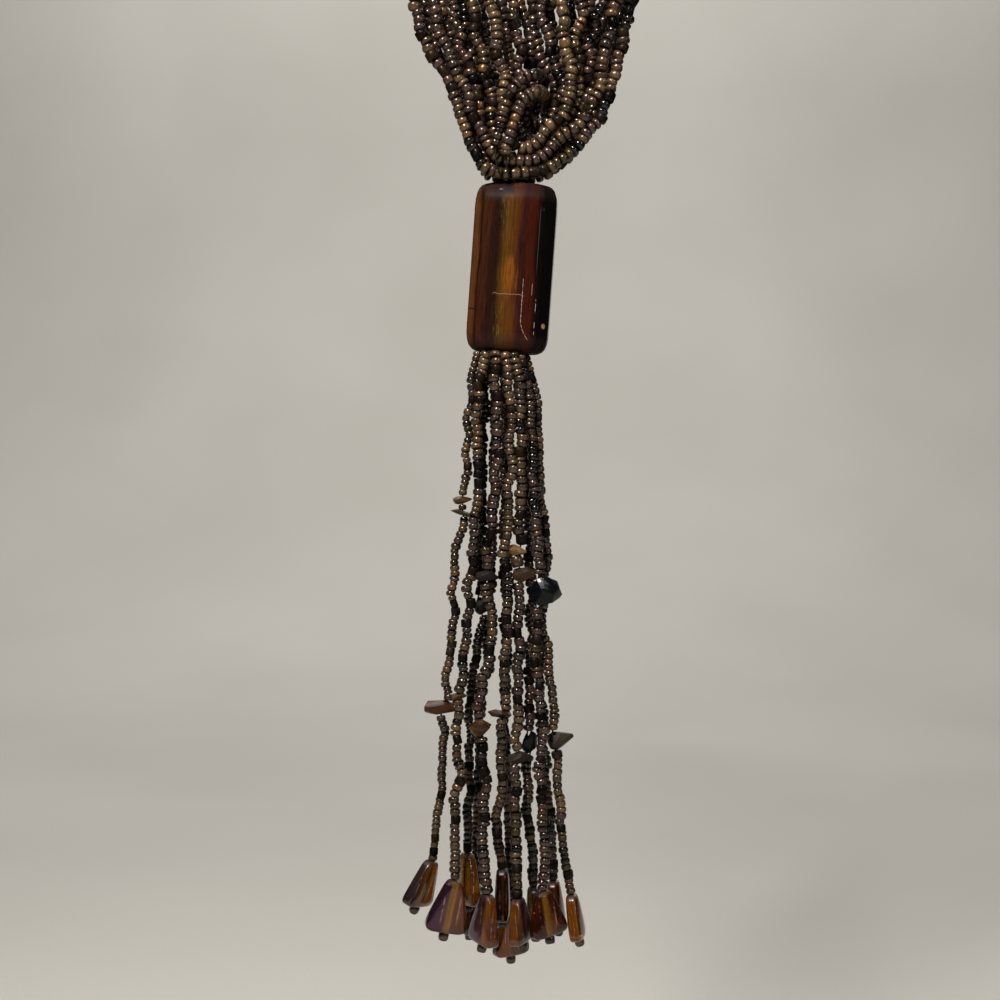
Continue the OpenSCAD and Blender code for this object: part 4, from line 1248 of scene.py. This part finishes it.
def stone_bands(p, own, x, z, ripple, fibre, silk):
    """Gold and red bands along the stone, with silky fibres, painted gold glints and a painted sheen in
    the middle.
    """
    drift = own.stretch(0.10, 0.10, 0.05).noise(1, 2) - 0.5
    across = (x + drift * 2.4 + ripple * 0.8) / FOCAL_WIDTH + 0.5
    colour = across.ramp(FRONT_BANDS)
    streak_and_glint = fibre.band(0.30, 0.72) * 0.9 + silk.band(0.35, 0.7) * 0.5
    colour = p.shade(colour, 0.43 + streak_and_glint * 0.61)
    # Painted glints: bright gold flecks along the left edge of the gold band, above and below its
    # middle.
    gold = x.line(-2.2, 1.5) * silk.band(0.56, 0.74) * z.size().band(4, 13)
    colour = mix(gold * 0.6, colour, (0.46, 0.28, 0.07))
    # Painted sheen: brighter orange in the middle of the front, along the silky fibres.
    painted_centre_sheen = 1 - (((x + 0.1) / 2.2) ** 2 + ((z + 2.6) / 5.6) ** 2 + ripple * 2.2).band(0, 1.1)
    return mix(painted_centre_sheen * streak_and_glint.clamp() * 0.52, colour, (0.300, 0.092, 0.011))


def stone_paint():
    """Red and gold banded stone with a pale crack, painted highlights along its edges, and painted
    shade at its ends and at the mouth of its hole.
    """
    p = Paint(
        "banded_stone", Specular_IOR_Level=0.10, IOR=1.5,
        Coat_Roughness=0.04, Coat_IOR=1.42,
    )
    own = stone_space(p)
    x, z = own.part(0), own.part(2)
    ripple = own.stretch(0.9, 0.9, 0.10).noise(1, 3) - 0.5
    fibre = own.stretch(5, 2, 0.16).noise(1, 4, 0.62)
    silk = own.stretch(11, 4, 0.35).noise(1, 3, 0.6)
    colour = stone_bands(p, own, x, z, ripple, fibre, silk)
    # Painted shade: a dark blue-grey oval and a black notch at the top of the front, where the mouth of
    # the hole would show.
    mouth = oval(x, z, (-1.8, 18.9), (1.9, 1.5), 0.2, 1.3)
    colour = mix(mouth * 0.85, colour, (0.016, 0.018, 0.024))
    hole_notch_shadow = oval(x, z, (-1.8, 20.8), (1.7, 1.4), 0.5, 1.2)
    colour = mix(hole_notch_shadow, colour, (0.001, 0.001, 0.001))
    wave = own.stretch(0.5, 0.3, 0.1).noise(1, 2) - 0.5
    crack = (z + wave * 0.9).line(-7.1, 0.16) * x.between(-4.2, -3.6, 3.4, 4.2)
    colour = mix(crack * 0.45, colour, (0.30, 0.20, 0.12))
    split = (z + x * 0.35 + wave * 1.2).line(-14, 0.22) * (1 - x.band(-8.4, -7.4))
    colour = mix(split, colour, (0.012, 0.006, 0.005))
    # Painted shade: both rounded ends darker, and also rougher and less polished.
    ends = z.size().band(15, 19.8)
    colour = mix(ends * 0.50, colour, (0.012, 0.003, 0.002))
    # Painted highlights: pale lines along the facet edges.
    colour = mix(painted_edge_glints(own, x, z) * 0.62, colour, (0.58, 0.46, 0.40))
    # Painted glint: a small pale yellow spot low on the right of the front.
    painted_yellow_glint = oval(x, z, (9, -14.2), (0.50, 0.75), 0.2, 1.2)
    colour = mix(painted_yellow_glint * (0.25 + silk * 0.6), colour, (0.50, 0.34, 0.14))
    wear_and_painted_shade = own.stretch(1.4, 1.4, 0.5).noise(1, 2).band(0.66, 0.74)
    rough = 0.10 + fibre * 0.08 + wear_and_painted_shade * 0.12 + ends * 0.6
    polish = 0.19 * (1 - ends * 0.9) * (1 - mouth)
    height = fibre * 0.4 + silk * 0.2 - crack - split * 1.2
    return p.put(
        Base_Color=colour, Roughness=rough, Coat_Weight=polish, Normal=height.bump(0.12, 0.0002),
    )


GLASS_STOPS = [
    (0, 4, 1, 1), (100, 20, 3, 1), (220, 52, 8, 2), (400, 125, 27, 2), (550, 250, 66, 3),
    (660, 400, 125, 5), (740, 360, 200, 22), (820, 120, 84, 18), (900, 100, 62, 64),
    (980, 88, 28, 62),
]


def glass_paint():
    """Amber glass that light passes through, partly under a thin purple and grey metal bloom."""
    p = Paint(
        "amber_glass", Transmission_Weight=0.75, IOR=1.5, Specular_IOR_Level=0.22,
        Coat_Roughness=0.04, Coat_IOR=1.45,
    )
    across = p.attribute("across")
    down = p.attribute("down")
    cloud = p.mm.noise(0.22, 2)
    swirl = p.mm.noise(0.7, 3, 0.55, 0.6)
    share = (across * 0.9 + (cloud - 0.5) * 0.9 + (swirl - 0.5) * 0.3 + 0.1).band(-0.22, 0.22)
    left = p.attribute("tone_left") + (swirl - 0.5) * 0.06
    right = p.attribute("tone_right") + (cloud - 0.5) * 0.14
    colour = mix(share, left.ramp(GLASS_STOPS), right.ramp(GLASS_STOPS))
    bloom = p.attribute("bloom") * cloud.band(0.46, 0.62) * (0.35 + down * 0.75)
    sheen = swirl.ramp([(350, 30, 55, 130), (500, 90, 35, 105), (650, 170, 120, 120)])
    colour = mix(bloom * 0.5, colour, sheen)
    # Painted light: a yellow line down the middle, where the lit hole would show through the glass.
    core = across.line(0.04, 0.20) * p.attribute("core") * (0.6 + swirl * 0.8)
    colour = mix((core * 0.95).clamp(), colour, (0.420, 0.205, 0.024))
    # Painted shade: the glass darker along its side edges, at its foot and at its crown.
    brink = across.size().band(0.70, 0.98)
    foot = down.band(0.90, 0.99)
    crown = 1 - down.band(0.02, 0.12)
    dark = (1 - brink * 0.72) * (1 - foot * 0.45) * (1 - crown * 0.45)
    colour = p.shade(colour, dark * 0.92)
    # Painted highlights: thin pale glint lines along the drop's faces.
    streak_and_glint = across.line(0.46, 0.045) + across.line(-0.30, 0.035) * swirl.band(0.45, 0.55)
    streak_and_glint = streak_and_glint * down.between(0.22, 0.36, 0.66, 0.86) * swirl.band(0.36, 0.5)
    colour = mix((streak_and_glint * 0.7).clamp(), colour, (0.70, 0.58, 0.48))
    film = left.band(0.84, 0.90) * (1 - share) + right.band(0.84, 0.90) * share
    metal = (film * (1 - core) * 0.50 + bloom * 0.2).clamp()
    rough = 0.05 + swirl * 0.08 + metal * 0.22 + crown * 0.55
    polish = 0.20 * (1 - crown)
    return p.put(
        Base_Color=colour, Metallic=metal, Roughness=rough, Coat_Weight=polish,
        Normal=swirl.bump(0.12, 0.0002),
    )


CHIP_STOPS = {
    "amber": [(0, 16, 6, 3), (500, 72, 38, 14), (1000, 180, 102, 34)],
    "olive": [(0, 16, 14, 11), (500, 55, 40, 18), (1000, 90, 52, 14)],
    "dark": [(0, 3, 3, 3), (500, 16, 12, 11), (1000, 34, 22, 15)],
    "brown": [(200, 58, 20, 6), (600, 24, 12, 9), (1000, 60, 30, 10)],
    "black": [(0, 1, 1, 2), (500, 3, 4, 5), (1000, 10, 11, 13)],
}
CHIP_ROUGH = {"amber": 0.16, "olive": 0.30, "dark": 0.34, "brown": 0.18, "black": 0.08}
CHIP_POLISH = {"amber": 0.10, "olive": 0.04, "dark": 0.04, "brown": 0.05, "black": 0.14}


def chip_paint(finish):
    """Tumbled stone: layered bands, fine grain and a polish that is rubbed away in places."""
    p = Paint(
        finish + "_stone", Specular_IOR_Level=0.12, IOR=1.54,
        Coat_Weight=CHIP_POLISH[finish], Coat_Roughness=0.06,
    )
    layer = p.mm.stretch(0.35, 0.5, 1.5).noise(0.8, 4, 0.6, 0.4)
    grain = p.mm.noise(4.0, 4, 0.65)
    tone = (p.attribute("tone") + (layer - 0.5) * 1.1 + (grain - 0.5) * 0.25).clamp()
    colour = tone.ramp(CHIP_STOPS[finish])
    colour = p.shade(colour, 0.7 + grain * 0.6)
    rough = CHIP_ROUGH[finish] + grain * 0.16 + layer.band(0.55, 0.7) * 0.14
    return p.put(Base_Color=colour, Roughness=rough, Normal=(grain + layer).bump(0.25, 0.0002))


# Stage, lamps and camera, in metres and watts.


FLOOR_LENGTH = 4
FLOOR_WIDTH = 2.4
FLOOR_AT = (0, -0.2, -0.62)
WALL_HEIGHT = 3.2

WHITE = (1, 1, 1)
MIDDLE = (0, -0.137, -0.38)
# Area lamps: name, place, target, size, power, colour, spread in degrees.
LAMPS = [
    ("key", (-0.3, -0.85, 0.42), MIDDLE, (0.22, 0.16), 17, (1, 0.96, 0.91), 180),
    ("fill", (0.7, -0.75, 0.05), MIDDLE, (0.1, 0.4), 1.3, (0.95, 0.97, 1), 180),
    ("top", (0, 0.15, 0.62), MIDDLE, (0.6, 0.2), 3.6, WHITE, 180),
    ("back", (0, 1, 1), (0, 1.4, -0.4), (2, 0.8), 23, WHITE, 180),
    ("rear", (0.5, 1.05, 0.35), (0, -0.08, -0.2), (0.5, 0.5), 2, WHITE, 50),
    ("near_floor", (0, -2, 1), (0, -2, -0.6), (3.2, 1.2), 24, WHITE, 80),
]
# The room's light on the necklace, and what the camera sees above that.
ROOM_TINT = (1, 0.96, 0.88, 1)
ROOM_GLOW = 0.026
ROOM_SEEN = 0.474

CAMERA_AT = (-0.003, -0.487, -0.389)
CAMERA_LENS = 50.4


def stage_floor():
    """A plain pale floor that curves up into a plain wall."""
    plane = bpy.ops.mesh.primitive_plane_add
    floor = added("stage_floor", plane, size=FLOOR_LENGTH, location=FLOOR_AT)
    floor.scale.x = FLOOR_WIDTH / FLOOR_LENGTH
    bpy.ops.object.transform_apply(location=True, rotation=True, scale=True)
    pick(floor, "EDGE", lambda mesh, edge: all(mesh.vertices[i].co.y > 1 for i in edge.vertices))
    bpy.ops.mesh.extrude_region_move(TRANSFORM_OT_translate={"value": (0, 0, WALL_HEIGHT)})
    leave()
    pick(floor, "EDGE", lambda mesh, edge: all(
        mesh.vertices[i].co.y > 1 and mesh.vertices[i].co.z < 0 for i in edge.vertices))
    bpy.ops.mesh.bevel(offset=0.9, segments=16, affect="EDGES")
    leave()
    smooth(floor, 40)
    p = Paint("stage_paint", Roughness=0.9)
    soft = p.place.noise(3.0, 2)
    colour = soft.ramp([(300, 430, 410, 370), (700, 470, 450, 410)])
    # The floor darker towards the front and lighter towards the wall.
    colour = p.shade(colour, 0.82 + p.place.part(1).band(0.0, 1.5) * 0.18)
    floor.data.materials.append(p.put(Base_Color=colour))


def lamp(name, at, target, size, power, tint, spread):
    light = bpy.data.lights.new(name, "AREA")
    light.spread = radians(spread)
    light.shape = "RECTANGLE"
    light.size, light.size_y = size
    light.energy = power
    light.color = tint
    made = bpy.data.objects.new(name, light)
    bpy.context.scene.collection.objects.link(made)
    made.location = at
    way = Vector(target) - Vector(at)
    made.rotation_euler = way.to_track_quat("-Z", "Y").to_euler()
    # The lamp behind would draw thin white lines on the beads.
    made.visible_glossy = name != "rear"


def room():
    world = bpy.data.worlds.new("room")
    world.use_nodes = True
    straight = Wire(world.node_tree, None).node("ShaderNodeLightPath")
    glow = ROOM_GLOW + straight * ROOM_SEEN
    background = world.node_tree.nodes["Background"]
    world.node_tree.links.new(glow.socket, background.inputs[1])
    background.inputs[0].default_value = ROOM_TINT
    bpy.context.scene.world = world
    bpy.context.scene.view_settings.view_transform = "Standard"


def camera():
    lens = bpy.data.cameras.new("camera")
    lens.sensor_width = 36
    lens.lens = CAMERA_LENS
    lens.clip_start = 0.01
    made = bpy.data.objects.new("camera", lens)
    bpy.context.scene.collection.objects.link(made)
    made.location = CAMERA_AT
    made.rotation_euler = (pi / 2, 0, 0)
    bpy.context.scene.camera = made


# The whole necklace.


def bead_strings(paint):
    """Every string of beads, and the routes that their threads follow."""
    shapes = {kind: turned_bead(kind) for kind in SECTIONS}
    routes = []
    for i, row in enumerate(LOOPS):
        route = loop_route(row)
        route.kink(40 + i, loose if row[0] < 2 else hidden)
        route.lift(LOW_LIFT[i], low_part)
        route.draw_in(5.6, DRAWN_IN[i], open_part)
        routes.append(route)
        name = f"loop_{i + 1:02d}"
        wide = row[3] * LOOP_PROUD[row[0]]
        whole = [(0, route.total)]
        stout = STOUT[row[0]]
        bead_string(name, route, whole, wide, LOOP_TINTS[i], 100 + i, shapes, paint, stout)
    for name, rows, width, tint in (
        ("hanger_1", HANGER_1, 2.3 * HANGER_PROUD, "khaki"),
        ("hanger_2", HANGER_2, 2.1 * HANGER_PROUD, "plum"),
    ):
        route = hanger_route(rows)
        routes.append(route)
        bead_string(name, route, beaded_spans(route, rows), width, tint, 200 + len(rows), shapes, paint)
    for i, rows in enumerate(TASSEL):
        route = tassel_route(i)
        route.kink(80 + i, swing)
        routes.append(route)
        spans = closer(beaded_spans(route, rows), TO_CHIP)
        name = f"tassel_{i + 1:02d}"
        bead_string(name, route, spans, TASSEL_WIDE[i], TASSEL_TINTS[i], 300 + i, shapes, paint)
    return routes


def necklace():
    glaze = {
        "khaki": bead_paint("khaki", 0.48, 0.70),
        "plum": bead_paint("plum", 0.52, 0.80),
        "grey": bead_paint("grey", 0.60, 0.80),
        "tan": bead_paint("tan", 0.34, 0.60),
    }
    thread = thread_paint()
    routes = bead_strings(glaze)
    threads(routes, thread)
    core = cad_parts["thread_core"]
    core.data.materials.clear()
    core.data.materials.append(thread)
    stone_bead(stone_paint())
    glass = glass_paint()
    for index in range(len(DROPS)):
        glass_drop(index, glass)
    chips = {finish: chip_paint(finish) for finish in CHIP_STOPS}
    for index in range(len(CHIPS)):
        stone_chip(index, chips)


necklace()
stage_floor()
for settings in LAMPS:
    lamp(*settings)
room()
camera()
